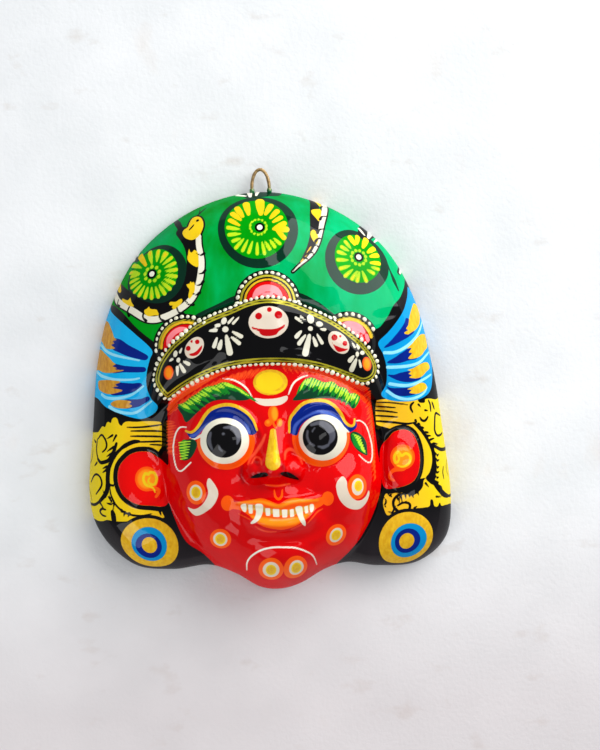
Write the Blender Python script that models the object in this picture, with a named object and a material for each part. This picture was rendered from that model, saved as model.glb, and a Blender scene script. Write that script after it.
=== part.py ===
"""A papier-mache deity mask, lying face up on its flat rim, with a wire loop at its top edge.

The shell is one moulding with an open back. Its carving is laid out on a drawing in millimetres, face up,
x to the viewer's right and y towards the top of the head, and scaled to the mask's own width, height and depth.
"""

import math

import bmesh
import bpy
import numpy as np
from mathutils import Matrix, Vector

MM = 0.001

# Driving sizes of the mask, in metres
MASK_WIDTH = 242 * MM
MASK_HEIGHT = 266 * MM
MASK_DEPTH = 82 * MM
WALL = 3.2 * MM

# Driving sizes of the wire loop, in metres
WIRE = 2.2 * MM
LOOP_WIDTH = 11.6 * MM
LOOP_RISE = 15.5 * MM
LOOP_HEIGHT_OVER_RIM = 7 * MM
HOOK_RUN = 8 * MM
HOOK_BEND = 3 * MM
HOOK_GAP = 4.2 * MM
HOLE_CLEARANCE = 0.3 * MM

# How finely the shell is faceted: quads across the painted side, and across the hollow side
FRONT_QUADS = 62
BACK_QUADS = 24
WIRE_SIDES_RESOLUTION = 2
ARC_STEPS = 6

# The rim's outline, right round from the top of the head, clockwise
OUTLINE = [
    (0, 132.5), (44, 121.5), (80, 95), (101, 58), (112, 12), (118, -35), (121.5, -75), (117, -103),
    (97, -119), (70, -120.5), (50, -117.5), (34, -121.5), (18, -130), (4, -133.5), (-10, -131.5),
    (-26, -122), (-44, -115.5), (-68, -117.5), (-94, -113), (-115, -92), (-122, -65), (-118, -20),
    (-113.5, 22), (-103, 60), (-81, 96), (-44, 122.5),
]  # fmt: skip


# The point that the facets spread out from, in the middle of the head, and the highest point
MIDDLE = (0, -20)
NOSE_TIP = (0, -48.5)

# How much of the nose, lips and lids shows on the hollow side
HOLLOW_SHARPNESS = 0.6


def rise(t):
    """0 below 0 and 1 above 1, with a smooth step between."""
    t = np.clip(t, 0, 1)
    return t * t * (3 - 2 * t)


def soft_max(a, b, blend):
    """The larger of two heights, rounded where they cross over a band of the given width."""
    share = np.clip(0.5 + 0.5 * (a - b) / blend, 0, 1)
    return b + (a - b) * share + blend * share * (1 - share)


def swell(x, y, centre, radii, power=2.0, fall=1.0):
    """A rounded boss: 1 at its centre and 0 at and past its elliptical edge."""
    q = np.hypot((x - centre[0]) / radii[0], (y - centre[1]) / radii[1])
    return np.clip(1 - q**power, 0, None) ** fall


def ridge(distance, half_width):
    """A rounded bead across a line: 1 on the line and 0 at its half width."""
    return np.clip(1 - (distance / half_width) ** 2, 0, None) ** 1.5


def face_axis(y):
    """How far the lower face leans to the right, as the hand-made mask does."""
    return 0.085 * np.clip(-48 - y, 0, None)


def crown_depth(x, y, inset):
    """How far a point lies inside the crescent of the crown band, negative outside it."""
    upper_edge = np.hypot(x + 2, y + 19) - (79.5 - inset)
    lower_edge = (106.7 + inset) - np.hypot(x + 2, y + 91.7)
    return -soft_max(upper_edge, lower_edge, 7.0)


def headdress(x, y):
    """The domed hair and the flat flaps at its sides."""
    crown_dome = 26 * swell(x, y, (0, 46), (114, 94), fall=1.2)
    flaps = 3 * (swell(x, y, (-92, -88), (34, 34), fall=1.5) + swell(x, y, (94, -90), (34, 34), fall=1.5))
    return 30 + crown_dome + flaps


def face_dome(x, y, inset):
    """The egg of the face, without its features."""
    down = np.clip(-(y + 40) / 94, 0, None)
    half_width = (73 - inset) * (1.01 - 0.28 * down**4)
    half_height = np.where(y > -40, 92, 94) - inset
    q = np.hypot((x - face_axis(y)) / half_width, (y + 40) / half_height)
    return 30 + 34 * (1 - q**4)


def crown(x, y, inset):
    """The padded band over the forehead and the three crest lobes behind it."""
    crest = 0
    for centre, radius in (((0, 54.5), 20.5), ((-54.5, 29.5), 19), ((51.5, 28), 18.5)):
        plate = 4.5 * swell(x, y, centre, (radius - inset,) * 2, power=6)
        crest = np.maximum(crest, plate + 3.2 * swell(x, y, centre, (radius * 0.62,) * 2))
    depth = np.clip(crown_depth(x, y, inset) / 15, 0, 1)
    band = 11 * (1 - (1 - depth) ** 2.8)
    return soft_max(crest, band, 1.0)


def nose(x, y, inset):
    """The bridge, the round tip and the two wings of the nose."""
    down = np.clip((-10 - y) / 42, 0, 1)
    bridge_width = 8.5 + 5 * down - 0.5 * inset
    bridge = (1.5 + 13.5 * down**1.2) * np.clip(1 - (x / bridge_width) ** 2, 0, None)
    bridge = bridge * rise((-6 - y) / 10) * rise((y + 58) / 8)
    tip = 17.5 * swell(x, y, NOSE_TIP, (13 - 0.5 * inset, 12.5 - 0.5 * inset), power=2.3)
    wing = (9.5 - 0.5 * inset,) * 2
    wings = swell(x, y, (-11.5, -50.5), wing) + swell(x, y, (12, -50.5), wing)
    return soft_max(soft_max(bridge, tip, 4.0), 10 * wings, 6.0)


def features(x, y):
    """The eyes with their lids, the brows, cheeks, lips and chin."""
    total = 0
    for side, centre in ((-1, (-31, -31)), (1, (32, -31.5))):
        from_eye = np.hypot(x - centre[0], y - centre[1])
        above = rise((y - centre[1] + 4) / 10)
        total = total + 8.5 * swell(x, y, centre, (18, 18), power=2.2)
        total = total + 1.6 * ridge(from_eye - 21.5, 4.5) * above
        brow_line = np.hypot(x - centre[0] - 3 * side, y - centre[1] - 2) - 33
        inward = side * (centre[0] - x)
        total = total + 2 * ridge(brow_line, 9) * rise((y - centre[1] - 8) / 16) * rise((26 - inward) / 18)
        total = total + 6 * swell(x, y, (side * 47 + 3, -65), (26, 24), fall=1.5)
    lean = x - face_axis(y)
    total = total + 5 * swell(lean, y, (0, -78), (33, 19), fall=1.2)
    upper_lip = ridge(y + 71.5 - 0.004 * lean**2, 3.6) * rise((31 - abs(lean)) / 8)
    lower_lip = ridge(y + 85.5 - 0.011 * lean**2, 5.5) * rise((27 - abs(lean)) / 9)
    total = total + 2.2 * upper_lip + 3 * lower_lip
    total = total - 1.6 * ridge(y + 95 - 0.008 * lean**2, 6) * rise((28 - abs(lean)) / 10)
    return total + 5.5 * swell(lean, y, (0, -112), (26, 17), fall=1.3)


def ears(x, y, inset):
    """The two ears, low rounded plates beside the face."""
    left = swell(x, y, (-85, -55), (17 - inset, 20 - inset), power=4)
    right = swell(x, y, (86, -49), (14 - inset, 21 - inset), power=4)
    return 4.5 * np.maximum(left, right)


def relief(x, y, inset):
    """Height of the carving over the rim plane, before the edge turns down. Zero inset is the painted side."""
    ground = headdress(x, y) + ears(x, y, inset)
    height = soft_max(ground, face_dome(x, y, inset), 2.0 + inset)
    sharpness = 1 if inset == 0 else HOLLOW_SHARPNESS
    return height + crown(x, y, inset) + sharpness * (nose(x, y, inset) + features(x, y))


def outline_radius(angles):
    """Distance from the middle of the head to the rim's outline, through a smooth closed curve."""
    knots = np.array(OUTLINE, float) - MIDDLE
    steps = np.arange(24) / 24
    curve = []
    for i in range(len(knots)):
        a, b, c, d = (knots[(i + k) % len(knots)] for k in (-1, 0, 1, 2))
        for t in steps:
            curve.append(0.5 * (2 * b + (c - a) * t + (2 * a - 5 * b + 4 * c - d) * t**2
                                + (3 * b - a - 3 * c + d) * t**3))  # fmt: skip
    curve = np.array(curve)
    around = np.arctan2(curve[:, 1], curve[:, 0])
    order = np.argsort(around)
    return np.interp(angles, around[order], np.hypot(*curve.T)[order], period=2 * math.pi)


def drawn_outline():
    """The rim's outline in the drawing, as many points on it."""
    angles = np.linspace(-math.pi, math.pi, 12 * FRONT_QUADS + 1)
    reach = outline_radius(angles)
    return MIDDLE[0] + reach * np.cos(angles), MIDDLE[1] + reach * np.sin(angles)


def drawing_scale():
    """Metres for each millimetre of the drawing, across, up and in height."""
    xs, ys = drawn_outline()
    highest = relief(np.array([NOSE_TIP[0]]), np.array([NOSE_TIP[1]]), 0.0)[0]
    return MASK_WIDTH / np.ptp(xs), MASK_HEIGHT / np.ptp(ys), MASK_DEPTH / highest


def surface_points(square, wall):
    """Puts points of a square from -1 to 1 on the shell, its outer side where the wall is 0."""
    across, up, tall = drawing_scale()
    u, v = square[:, 0], square[:, 1]
    disc = np.stack([u * np.sqrt(1 - v**2 / 2), v * np.sqrt(1 - u**2 / 2)], 1)
    spread = np.hypot(*disc.T)
    share = np.clip(0.9 * spread + 0.3 * spread**3 - 0.2 * spread**7, 0, 1)
    inset = wall / across
    angle = np.arctan2(disc[:, 1], disc[:, 0])
    reach = share * (outline_radius(angle) - inset)
    x, y = MIDDLE[0] + reach * np.cos(angle), MIDDLE[1] + reach * np.sin(angle)
    turned_down = np.sqrt(1 - share**9)
    z = (relief(x, y, inset) - wall / tall) * turned_down
    return np.stack([x * across, y * up, z * tall], 1)


def add_side(bm, quads, wall):
    """Adds one side of the shell to the mesh, as a square grid pressed into shape."""
    made = bmesh.ops.create_grid(bm, x_segments=quads, y_segments=quads, size=1)["verts"]
    points = surface_points(np.array([v.co[:2] for v in made]), wall)
    for vert, point in zip(made, points):
        vert.co = point
    return made


def link(obj, collection):
    """Puts an object in a collection and returns it."""
    collection.objects.link(obj)
    return obj


def paint(name, colour, roughness, metallic=0.0):
    """A plain finish of one colour."""
    material = bpy.data.materials.new(name)
    material.use_nodes = True
    shader = material.node_tree.nodes["Principled BSDF"]
    shader.inputs["Base Color"].default_value = (*colour, 1)
    shader.inputs["Roughness"].default_value = roughness
    shader.inputs["Metallic"].default_value = metallic
    return material


def make_shell(collection):
    """The moulded shell, with an open back and a flat rim."""
    bm = bmesh.new()
    add_side(bm, FRONT_QUADS, 0.0)
    hollow = add_side(bm, BACK_QUADS, WALL)
    hollow_faces = {face for vert in hollow for face in vert.link_faces}
    bmesh.ops.reverse_faces(bm, faces=list(hollow_faces))
    rims = [edge for edge in bm.edges if edge.is_boundary]
    bmesh.ops.bridge_loops(bm, edges=rims)
    bmesh.ops.triangulate(bm, faces=bm.faces, quad_method="SHORT_EDGE")
    bmesh.ops.recalc_face_normals(bm, faces=bm.faces)
    mesh = bpy.data.meshes.new("mask_shell")
    bm.to_mesh(mesh)
    bm.free()
    mesh.shade_smooth()
    shell = link(bpy.data.objects.new("mask_shell", mesh), collection)
    shell.data.materials.append(paint("red_enamel", (0.75, 0.03, 0.02), 0.2))
    return shell


def top_edge():
    """Where the rim's outline crosses the centre line, in metres."""
    return (MIDDLE[1] + outline_radius(np.array([math.pi / 2]))[0]) * drawing_scale()[1]


def bore_wire_holes(shell, cutters):
    """Two holes through the top wall that the wire's legs pass."""
    radius = WIRE / 2 + HOLE_CLEARANCE
    for side in (-1, 1):
        bm = bmesh.new()
        bmesh.ops.create_cone(
            bm, cap_ends=True, segments=16, radius1=radius, radius2=radius, depth=6 * WALL,
            matrix=Matrix.Rotation(math.pi / 2, 4, "X"),
        )  # fmt: skip
        mesh = bpy.data.meshes.new("wire_hole")
        bm.to_mesh(mesh)
        bm.free()
        cutter = link(bpy.data.objects.new("wire_hole", mesh), cutters)
        cutter.location = (side * LOOP_WIDTH / 2, top_edge() - WALL / 2, LOOP_HEIGHT_OVER_RIM)
        cutter.hide_render = True
        cutter.display_type = "WIRE"
        cut = shell.modifiers.new("wire_hole", "BOOLEAN")
        cut.operation = "DIFFERENCE"
        cut.object = cutter


def wire_route():
    """The wire's centre line: a hook inside the shell, a leg, the arch, and the same back."""
    half = LOOP_WIDTH / 2
    hook_y = top_edge() - WALL - HOOK_GAP - WIRE
    spring_y = top_edge() + WIRE
    arch = LOOP_RISE - 1.5 * WIRE
    right = [(half + HOOK_BEND + HOOK_RUN, hook_y)]
    for step in range(ARC_STEPS + 1):
        turn = math.pi / 2 * step / ARC_STEPS
        bend_x = half + HOOK_BEND - HOOK_BEND * math.sin(turn)
        right.append((bend_x, hook_y + HOOK_BEND * (1 - math.cos(turn))))
    for step in range(2 * ARC_STEPS):
        turn = math.pi / 2 * step / (2 * ARC_STEPS)
        right.append((half * math.cos(turn), spring_y + arch * math.sin(turn)))
    left = [(-x, y) for x, y in reversed(right)]
    return right + [(0, spring_y + arch)] + left


def make_loop(collection):
    """The wire loop that the mask hangs by, through the top wall."""
    route = wire_route()
    curve = bpy.data.curves.new("hanging_loop", "CURVE")
    curve.dimensions = "3D"
    curve.bevel_depth = WIRE / 2
    curve.bevel_resolution = WIRE_SIDES_RESOLUTION
    curve.use_fill_caps = True
    spline = curve.splines.new("POLY")
    spline.points.add(len(route) - 1)
    for point, (x, y) in zip(spline.points, route):
        point.co = (x, y, LOOP_HEIGHT_OVER_RIM, 1)
    loop = link(bpy.data.objects.new("hanging_loop", curve), collection)
    loop.data.materials.append(paint("brassy_wire", (0.45, 0.3, 0.12), 0.4, metallic=0.8))
    return loop


def centre_of_footprint():
    """The middle of the mask and its loop, seen from above, which becomes the origin."""
    across, up, _ = drawing_scale()
    xs, ys = drawn_outline()
    topmost = max(y for _, y in wire_route()) + WIRE / 2
    return Vector(((xs.min() + xs.max()) / 2 * across, (ys.min() * up + topmost) / 2, 0))


def main():
    for old in list(bpy.data.objects):
        bpy.data.objects.remove(old)
    collection = bpy.data.collections.new("deity_mask")
    cutters = bpy.data.collections.new("cutters")
    for group in (collection, cutters):
        bpy.context.scene.collection.children.link(group)
    shell = make_shell(collection)
    bore_wire_holes(shell, cutters)
    make_loop(collection)
    for obj in [*collection.objects, *cutters.objects]:
        obj.location -= centre_of_footprint()


main()
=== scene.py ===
"""The looks of a painted papier-mache deity mask, lying face up, built around its packed shell and wire loop.

The carving and the painting are laid out on a drawing in millimetres, x to the viewer's right and y towards the top
of the head. Finished meshes are in metres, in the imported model's own frame.
"""

import logging
import math
from dataclasses import dataclass
from enum import Enum
from typing import Any, Iterable, Protocol

import bpy
import numpy as np
from mathutils import Matrix, Vector

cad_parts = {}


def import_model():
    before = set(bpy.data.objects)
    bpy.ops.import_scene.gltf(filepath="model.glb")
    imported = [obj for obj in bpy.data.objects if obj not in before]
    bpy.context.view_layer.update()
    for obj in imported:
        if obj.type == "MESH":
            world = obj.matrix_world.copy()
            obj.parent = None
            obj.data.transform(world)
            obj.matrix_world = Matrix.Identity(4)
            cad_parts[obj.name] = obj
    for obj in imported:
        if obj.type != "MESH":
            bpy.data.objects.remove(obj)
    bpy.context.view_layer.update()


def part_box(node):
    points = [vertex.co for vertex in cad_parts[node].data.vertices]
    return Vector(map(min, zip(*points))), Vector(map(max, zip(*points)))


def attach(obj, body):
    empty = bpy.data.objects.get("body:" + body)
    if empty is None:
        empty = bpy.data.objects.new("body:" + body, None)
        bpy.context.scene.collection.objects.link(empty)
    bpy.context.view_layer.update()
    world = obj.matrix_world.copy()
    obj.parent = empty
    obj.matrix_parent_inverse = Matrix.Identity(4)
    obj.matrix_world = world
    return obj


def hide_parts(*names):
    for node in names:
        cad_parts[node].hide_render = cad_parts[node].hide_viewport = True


LOG = logging.getLogger("deity_mask")
MM = 0.001

Array = np.ndarray
Point = tuple[float, float]
Outline = tuple[Point, ...]
Outlines = tuple[Outline, ...]
Row = tuple[float, ...]
Rows = tuple[Row, ...]
Colour = tuple[float, float, float]

# How far from a painted edge its distance is still kept, in millimetres
REACH = 3.0
# The mesh attribute that says how thickly the paint is built up
BUILD = "paint_build"


def shade(red: int, green: int, blue: int) -> Colour:
    """A colour as a screen shows it, 0 to 255 a channel, as the linear colour that shaders take."""
    shown = (part / 255 for part in (red, green, blue))
    return tuple(part / 12.92 if part <= 0.04045 else ((part + 0.055) / 1.055) ** 2.4 for part in shown)


def rise(t: Array) -> Array:
    """0 below 0 and 1 above 1, with a smooth step between."""
    t = np.clip(t, 0, 1)
    return t * t * (3 - 2 * t)


def soft_max(a: Array, b: Array, blend: float) -> Array:
    """The larger of two heights, rounded where they cross over a band of the given width."""
    share = np.clip(0.5 + 0.5 * (a - b) / blend, 0, 1)
    return b + (a - b) * share + blend * share * (1 - share)


def swell(x: Array, y: Array, centre: Point, radii: Point, power: float = 2.0, fall: float = 1.0) -> Array:
    """A rounded boss: 1 at its centre and 0 at and past its elliptical edge."""
    q = np.hypot((x - centre[0]) / radii[0], (y - centre[1]) / radii[1])
    return np.clip(1 - q**power, 0, None) ** fall


def ridge(distance: Array, half_width: float) -> Array:
    """A rounded bead across a line: 1 on the line and 0 at its half width."""
    return np.clip(1 - (distance / half_width) ** 2, 0, None) ** 1.5


def smooth_line(points: Iterable[Point], closed: bool, steps: int = 6) -> Array:
    """A smooth curve through points, as a polyline.

    Args:
        points: The points it passes, in order.
        closed: Whether it runs on from the last point to the first.
        steps: How many stretches it has between two points.

    Returns:
        The polyline's points, one a row; a closed one repeats its first point at the end.
    """
    knots = np.array(list(points), float)
    if closed:
        knots = np.vstack([knots[-1], knots, knots[:2]])
    else:
        knots = np.vstack([2 * knots[0] - knots[1], knots, 2 * knots[-1] - knots[-2]])
    t = (np.arange(steps) / steps)[:, None]
    curve = []
    for a, b, c, d in zip(knots, knots[1:], knots[2:], knots[3:]):
        square, cube = 2 * a - 5 * b + 4 * c - d, 3 * b - a - 3 * c + d
        curve.append(0.5 * (2 * b + (c - a) * t + square * t**2 + cube * t**3))
    return np.vstack([*curve, knots[-2][None]])


def path(*numbers: float) -> Outline:
    """Points from their coordinates, x and y in turn."""
    return tuple(zip(numbers[::2], numbers[1::2]))


def around(centre: Any, radius: Any, turn: Any) -> Array:
    """The points at distances and directions, in radians, from a centre."""
    return np.asarray(centre) + np.stack([radius * np.cos(turn), radius * np.sin(turn)], -1)


def run_along(line: Array) -> Array:
    """How far along a polyline each of its points lies."""
    return np.concatenate([[0], np.cumsum(np.hypot(*np.diff(line, axis=0).T))])


def places_along(line: Array, spots: Array) -> Array:
    """The points of a polyline at the given distances along it."""
    return np.stack([np.interp(spots, run_along(line), line[:, axis]) for axis in (0, 1)], 1)


# The carving


@dataclass(frozen=True)
class Carving:
    """The moulded form of the shell, on the drawing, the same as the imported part's."""

    outline: Outline = path(0, 132.5, 44, 121.5, 80, 95, 101, 58, 112, 12, 118, -35, 121.5, -75, 117, -103, 97, -119,
        70, -120.5, 50, -117.5, 34, -121.5, 18, -130, 4, -133.5, -10, -131.5, -26, -122, -44, -115.5, -68, -117.5,
        -94, -113, -115, -92, -122, -65, -118, -20, -113.5, 22, -103, 60, -81, 96, -44, 122.5)
    middle: Point = (0, -20)
    nose_tip: Point = (0, -48.5)
    hollow_sharpness: float = 0.6

    def outline_radius(self, angles: Array) -> Array:
        """Distance from the middle of the head to the rim, at each angle."""
        curve = smooth_line(self.outline, closed=True, steps=24)[:-1] - self.middle
        turns = np.arctan2(curve[:, 1], curve[:, 0])
        order = np.argsort(turns)
        return np.interp(angles, turns[order], np.hypot(*curve.T)[order], period=2 * math.pi)

    def face_axis(self, y: Array) -> Array:
        """How far the lower face leans to the right."""
        return 0.085 * np.clip(-48 - y, 0, None)

    def headdress(self, x: Array, y: Array) -> Array:
        """The domed hair and the flat flaps at its sides."""
        crown_dome = 26 * swell(x, y, (0, 46), (114, 94), fall=1.2)
        flaps = 3 * (swell(x, y, (-92, -88), (34, 34), fall=1.5) + swell(x, y, (94, -90), (34, 34), fall=1.5))
        return 30 + crown_dome + flaps

    def face_dome(self, x: Array, y: Array, inset: float) -> Array:
        """The egg of the face, without its features."""
        down = np.clip(-(y + 40) / 94, 0, None)
        half_width = (73 - inset) * (1.01 - 0.28 * down**4)
        half_height = np.where(y > -40, 92, 94) - inset
        q = np.hypot((x - self.face_axis(y)) / half_width, (y + 40) / half_height)
        return 30 + 34 * (1 - q**4)

    def crown(self, x: Array, y: Array, inset: float) -> Array:
        """The padded band over the forehead and the three crest lobes behind it."""
        crest = 0
        for centre, radius in (((0, 54.5), 20.5), ((-54.5, 29.5), 19), ((51.5, 28), 18.5)):
            plate = 4.5 * swell(x, y, centre, (radius - inset,) * 2, power=6)
            crest = np.maximum(crest, plate + 3.2 * swell(x, y, centre, (radius * 0.62,) * 2))
        upper_edge = np.hypot(x + 2, y + 19) - (79.5 - inset)
        lower_edge = (106.7 + inset) - np.hypot(x + 2, y + 91.7)
        depth = np.clip(-soft_max(upper_edge, lower_edge, 7.0) / 15, 0, 1)
        return soft_max(crest, 11 * (1 - (1 - depth) ** 2.8), 1.0)

    def nose(self, x: Array, y: Array, inset: float) -> Array:
        """The bridge, the round tip and the two wings of the nose."""
        down = np.clip((-10 - y) / 42, 0, 1)
        bridge_width = 8.5 + 5 * down - 0.5 * inset
        bridge = (1.5 + 13.5 * down**1.2) * np.clip(1 - (x / bridge_width) ** 2, 0, None)
        bridge = bridge * rise((-6 - y) / 10) * rise((y + 58) / 8)
        tip = 17.5 * swell(x, y, self.nose_tip, (13 - 0.5 * inset, 12.5 - 0.5 * inset), power=2.3)
        wing = (9.5 - 0.5 * inset,) * 2
        wings = swell(x, y, (-11.5, -50.5), wing) + swell(x, y, (12, -50.5), wing)
        return soft_max(soft_max(bridge, tip, 4.0), 10 * wings, 6.0)

    def features(self, x: Array, y: Array) -> Array:
        """The eyes with their lids, the brows, cheeks, lips and chin."""
        total = 0
        for side, centre in ((-1, (-31, -31)), (1, (32, -31.5))):
            from_eye = np.hypot(x - centre[0], y - centre[1])
            above = rise((y - centre[1] + 4) / 10)
            total = total + 8.5 * swell(x, y, centre, (18, 18), power=2.2)
            total = total + 1.6 * ridge(from_eye - 21.5, 4.5) * above
            brow_line = np.hypot(x - centre[0] - 3 * side, y - centre[1] - 2) - 33
            inward = side * (centre[0] - x)
            total = total + 2 * ridge(brow_line, 9) * rise((y - centre[1] - 8) / 16) * rise((26 - inward) / 18)
            total = total + 6 * swell(x, y, (side * 47 + 3, -65), (26, 24), fall=1.5)
        lean = x - self.face_axis(y)
        total = total + 5 * swell(lean, y, (0, -78), (33, 19), fall=1.2)
        upper_lip = ridge(y + 71.5 - 0.004 * lean**2, 3.6) * rise((31 - abs(lean)) / 8)
        lower_lip = ridge(y + 85.5 - 0.011 * lean**2, 5.5) * rise((27 - abs(lean)) / 9)
        total = total + 2.2 * upper_lip + 3 * lower_lip
        total = total - 1.6 * ridge(y + 95 - 0.008 * lean**2, 6) * rise((28 - abs(lean)) / 10)
        return total + 5.5 * swell(lean, y, (0, -112), (26, 17), fall=1.3)

    def ears(self, x: Array, y: Array, inset: float) -> Array:
        """The two ears, low rounded plates beside the face."""
        left = swell(x, y, (-85, -55), (17 - inset, 20 - inset), power=4)
        right = swell(x, y, (86, -49), (14 - inset, 21 - inset), power=4)
        return 4.5 * np.maximum(left, right)

    def relief(self, x: Array, y: Array, inset: float) -> Array:
        """Height of the carving over the rim plane, before the edge turns down. Zero inset is the painted side."""
        ground = self.headdress(x, y) + self.ears(x, y, inset)
        height = soft_max(ground, self.face_dome(x, y, inset), 2.0 + inset)
        sharpness = 1 if inset == 0 else self.hollow_sharpness
        return height + self.crown(x, y, inset) + sharpness * (self.nose(x, y, inset) + self.features(x, y))

    def handwork(self, x: Array, y: Array) -> Array:
        """The shallow unevenness of a surface that was built up and smoothed by hand."""
        draw = np.random.default_rng(7)
        total = np.zeros_like(x)
        for length in np.geomspace(9, 46, 26):
            turn, phase = draw.uniform(0, 2 * math.pi, 2)
            wave = 2 * math.pi / length
            total = total + 0.0022 * length * np.sin(wave * (x * math.cos(turn) + y * math.sin(turn)) + phase)
        return total


@dataclass(frozen=True)
class Lay:
    """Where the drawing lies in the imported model's frame, and how its flattened surface is measured."""

    carving: Carving
    low: Vector
    high: Vector
    wall: float = 3.2
    side_height: float = 32.0
    side_radius: float = 118.0
    rim_sharpness: int = 9
    rim_fade: float = 12.0
    halvings: int = 30

    def scale(self) -> tuple[Array, Array]:
        """Metres for each millimetre of the drawing along each axis, and the offset to add."""
        angles = np.linspace(-math.pi, math.pi, 2000)
        rim = around(self.carving.middle, self.carving.outline_radius(angles), angles)
        tip_x, tip_y = (np.array([c], float) for c in self.carving.nose_tip)
        drawn_low = np.array([*rim.min(0), 0])
        drawn_high = np.array([*rim.max(0), self.carving.relief(tip_x, tip_y, 0.0)[0]])
        scale = (np.array(self.high) - np.array(self.low)) / (drawn_high - drawn_low)
        return scale, np.array(self.low) - drawn_low * scale

    def surface(self, share: Array, angle: Array, wall: float = 0.0) -> Array:
        """Points of the shell, in metres.

        Args:
            share: How far out from the middle of the head each point is, 0 to 1 at the rim.
            angle: The direction of each point from the middle of the head.
            wall: 0 for the painted side, or the wall's thickness for the hollow side.

        Returns:
            The points, one a row.
        """
        carving = self.carving
        x, y = around(carving.middle, share * (carving.outline_radius(angle) - wall), angle).T
        turned_down = np.sqrt(1 - share**self.rim_sharpness)
        z = (carving.relief(x, y, wall) - wall) * turned_down
        if not wall:
            z = z + carving.handwork(x, y) * rise((1 - share) * self.rim_fade)
        scale, offset = self.scale()
        return np.stack([x, y, z], 1) * scale + offset

    def side_run(self, share: Array) -> Array:
        """The extra length down the turned edge, beyond the distance seen from above, at each share of the reach."""
        t = np.sqrt(np.linspace(0, 1, 4001))
        drop = np.diff(self.side_height * np.sqrt(1 - t**self.rim_sharpness))
        across = np.diff(self.side_radius * t)
        return np.interp(share, t, np.concatenate([[0], np.cumsum(np.hypot(drop, across) - across)]))

    def flattened(self, share: Array, angle: Array) -> Array:
        """Points of the painting plane, where the turned edge is laid out flat, in millimetres."""
        run = share * self.carving.outline_radius(angle) + self.side_run(share)
        return around(self.carving.middle, run, angle)

    def raised(self, places: Array) -> Array:
        """The points of the shell under places of the painting plane, in metres."""
        offset = places - np.array(self.carving.middle)
        angle, run = np.arctan2(offset[:, 1], offset[:, 0]), np.hypot(*offset.T)
        full = self.carving.outline_radius(angle)
        low, high = np.zeros_like(run), np.ones_like(run)
        for _ in range(self.halvings):
            share = (low + high) / 2
            past = share * full + self.side_run(share) > run
            low, high = np.where(past, low, share), np.where(past, share, high)
        return self.surface((low + high) / 2, angle)


# Shapes laid on the painting plane


def gap_to(points: Array, line: Array, half_widths: Row = (0.0,)) -> Array:
    """Distance from points to a polyline's edge, with half widths spread evenly along it."""
    reached, spots = run_along(line) / run_along(line)[-1], np.linspace(0, 1, len(half_widths))
    best = np.full(len(points), np.inf)
    for start, step, low, high in zip(line, np.diff(line, axis=0), reached, reached[1:]):
        offset = points - start
        share = np.clip(offset @ step / (step @ step), 0, 1)
        half_width = np.interp(low + share * (high - low), spots, half_widths)
        best = np.minimum(best, np.hypot(*(offset - share[:, None] * step).T) - half_width)
    return best


class Shape(Protocol):
    """A painted shape: a box that holds it, and the distance to its edge, negative inside."""

    def box(self) -> tuple[Array, Array]:
        """Lowest and highest corner."""

    def distance(self, points: Array) -> Array:
        """Signed distance of each point to the shape's edge."""


@dataclass(frozen=True)
class Ellipse:
    """A filled ellipse, or a disc where it has one radius, turned by degrees."""

    centre: Point
    radii: Point
    turn: float = 0.0

    def box(self) -> tuple[Array, Array]:
        """Lowest and highest corner."""
        return np.array(self.centre) - max(self.radii), np.array(self.centre) + max(self.radii)

    def distance(self, points: Array) -> Array:
        """Signed distance of each point to the edge."""
        x, y = (points - self.centre).T
        cos, sin = math.cos(math.radians(self.turn)), math.sin(math.radians(self.turn))
        along, across = (x * cos + y * sin) / self.radii[0], (y * cos - x * sin) / self.radii[1]
        q = np.hypot(along, across)
        slope = np.hypot(along / self.radii[0], across / self.radii[1])
        return np.where(q > 1e-4, q * (q - 1) / np.maximum(slope, 1e-9), -min(self.radii))


def oval(x: float, y: float, across: float, up: float, turn: float = 0.0) -> Ellipse:
    """A filled ellipse, by its centre, its half width and half height, and the degrees it is turned by."""
    return Ellipse((x, y), (across, up), turn)


def disc(x: float, y: float, radius: float) -> Ellipse:
    """A filled disc."""
    return oval(x, y, radius, radius)


@dataclass(frozen=True)
class Hoop:
    """A line of paint along the edge of an ellipse, or at a depth inside any shape's edge."""

    of: Shape
    half_width: float
    depth: float = 0.0

    def box(self) -> tuple[Array, Array]:
        """Lowest and highest corner."""
        low, high = self.of.box()
        return low - self.half_width, high + self.half_width

    def distance(self, points: Array) -> Array:
        """Signed distance of each point to the line's edge."""
        return abs(self.of.distance(points) + self.depth) - self.half_width


@dataclass(frozen=True)
class Stroke:
    """A brush stroke along a smooth line, with its half widths spread evenly along it."""

    points: Outline
    widths: Row

    def box(self) -> tuple[Array, Array]:
        """Lowest and highest corner."""
        corners, margin = np.array(self.points), max(self.widths) + 1
        return corners.min(0) - margin, corners.max(0) + margin

    def distance(self, points: Array) -> Array:
        """Signed distance of each point to the stroke's edge."""
        if len(self.points) == 2:
            return gap_to(points, np.linspace(*self.points, 6), self.widths)
        return gap_to(points, smooth_line(self.points, closed=False, steps=5), self.widths)


@dataclass(frozen=True)
class Patch:
    """A filled area inside a closed line, smooth unless it is sharp."""

    points: Outline
    sharp: bool = False

    def box(self) -> tuple[Array, Array]:
        """Lowest and highest corner."""
        corners = np.array(self.points)
        return corners.min(0) - 2, corners.max(0) + 2

    def distance(self, points: Array) -> Array:
        """Signed distance of each point to the edge."""
        line = smooth_line(self.points, closed=True, steps=1 if self.sharp else 5)
        inside = np.zeros(len(points), bool)
        x, y = points.T
        for (ax, ay), (bx, by) in zip(line, line[1:]):
            if ay != by:
                inside ^= ((ay > y) != (by > y)) & (x < ax + (y - ay) * (bx - ax) / (by - ay))
        return np.where(inside, -1, 1) * gap_to(points, line)


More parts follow.
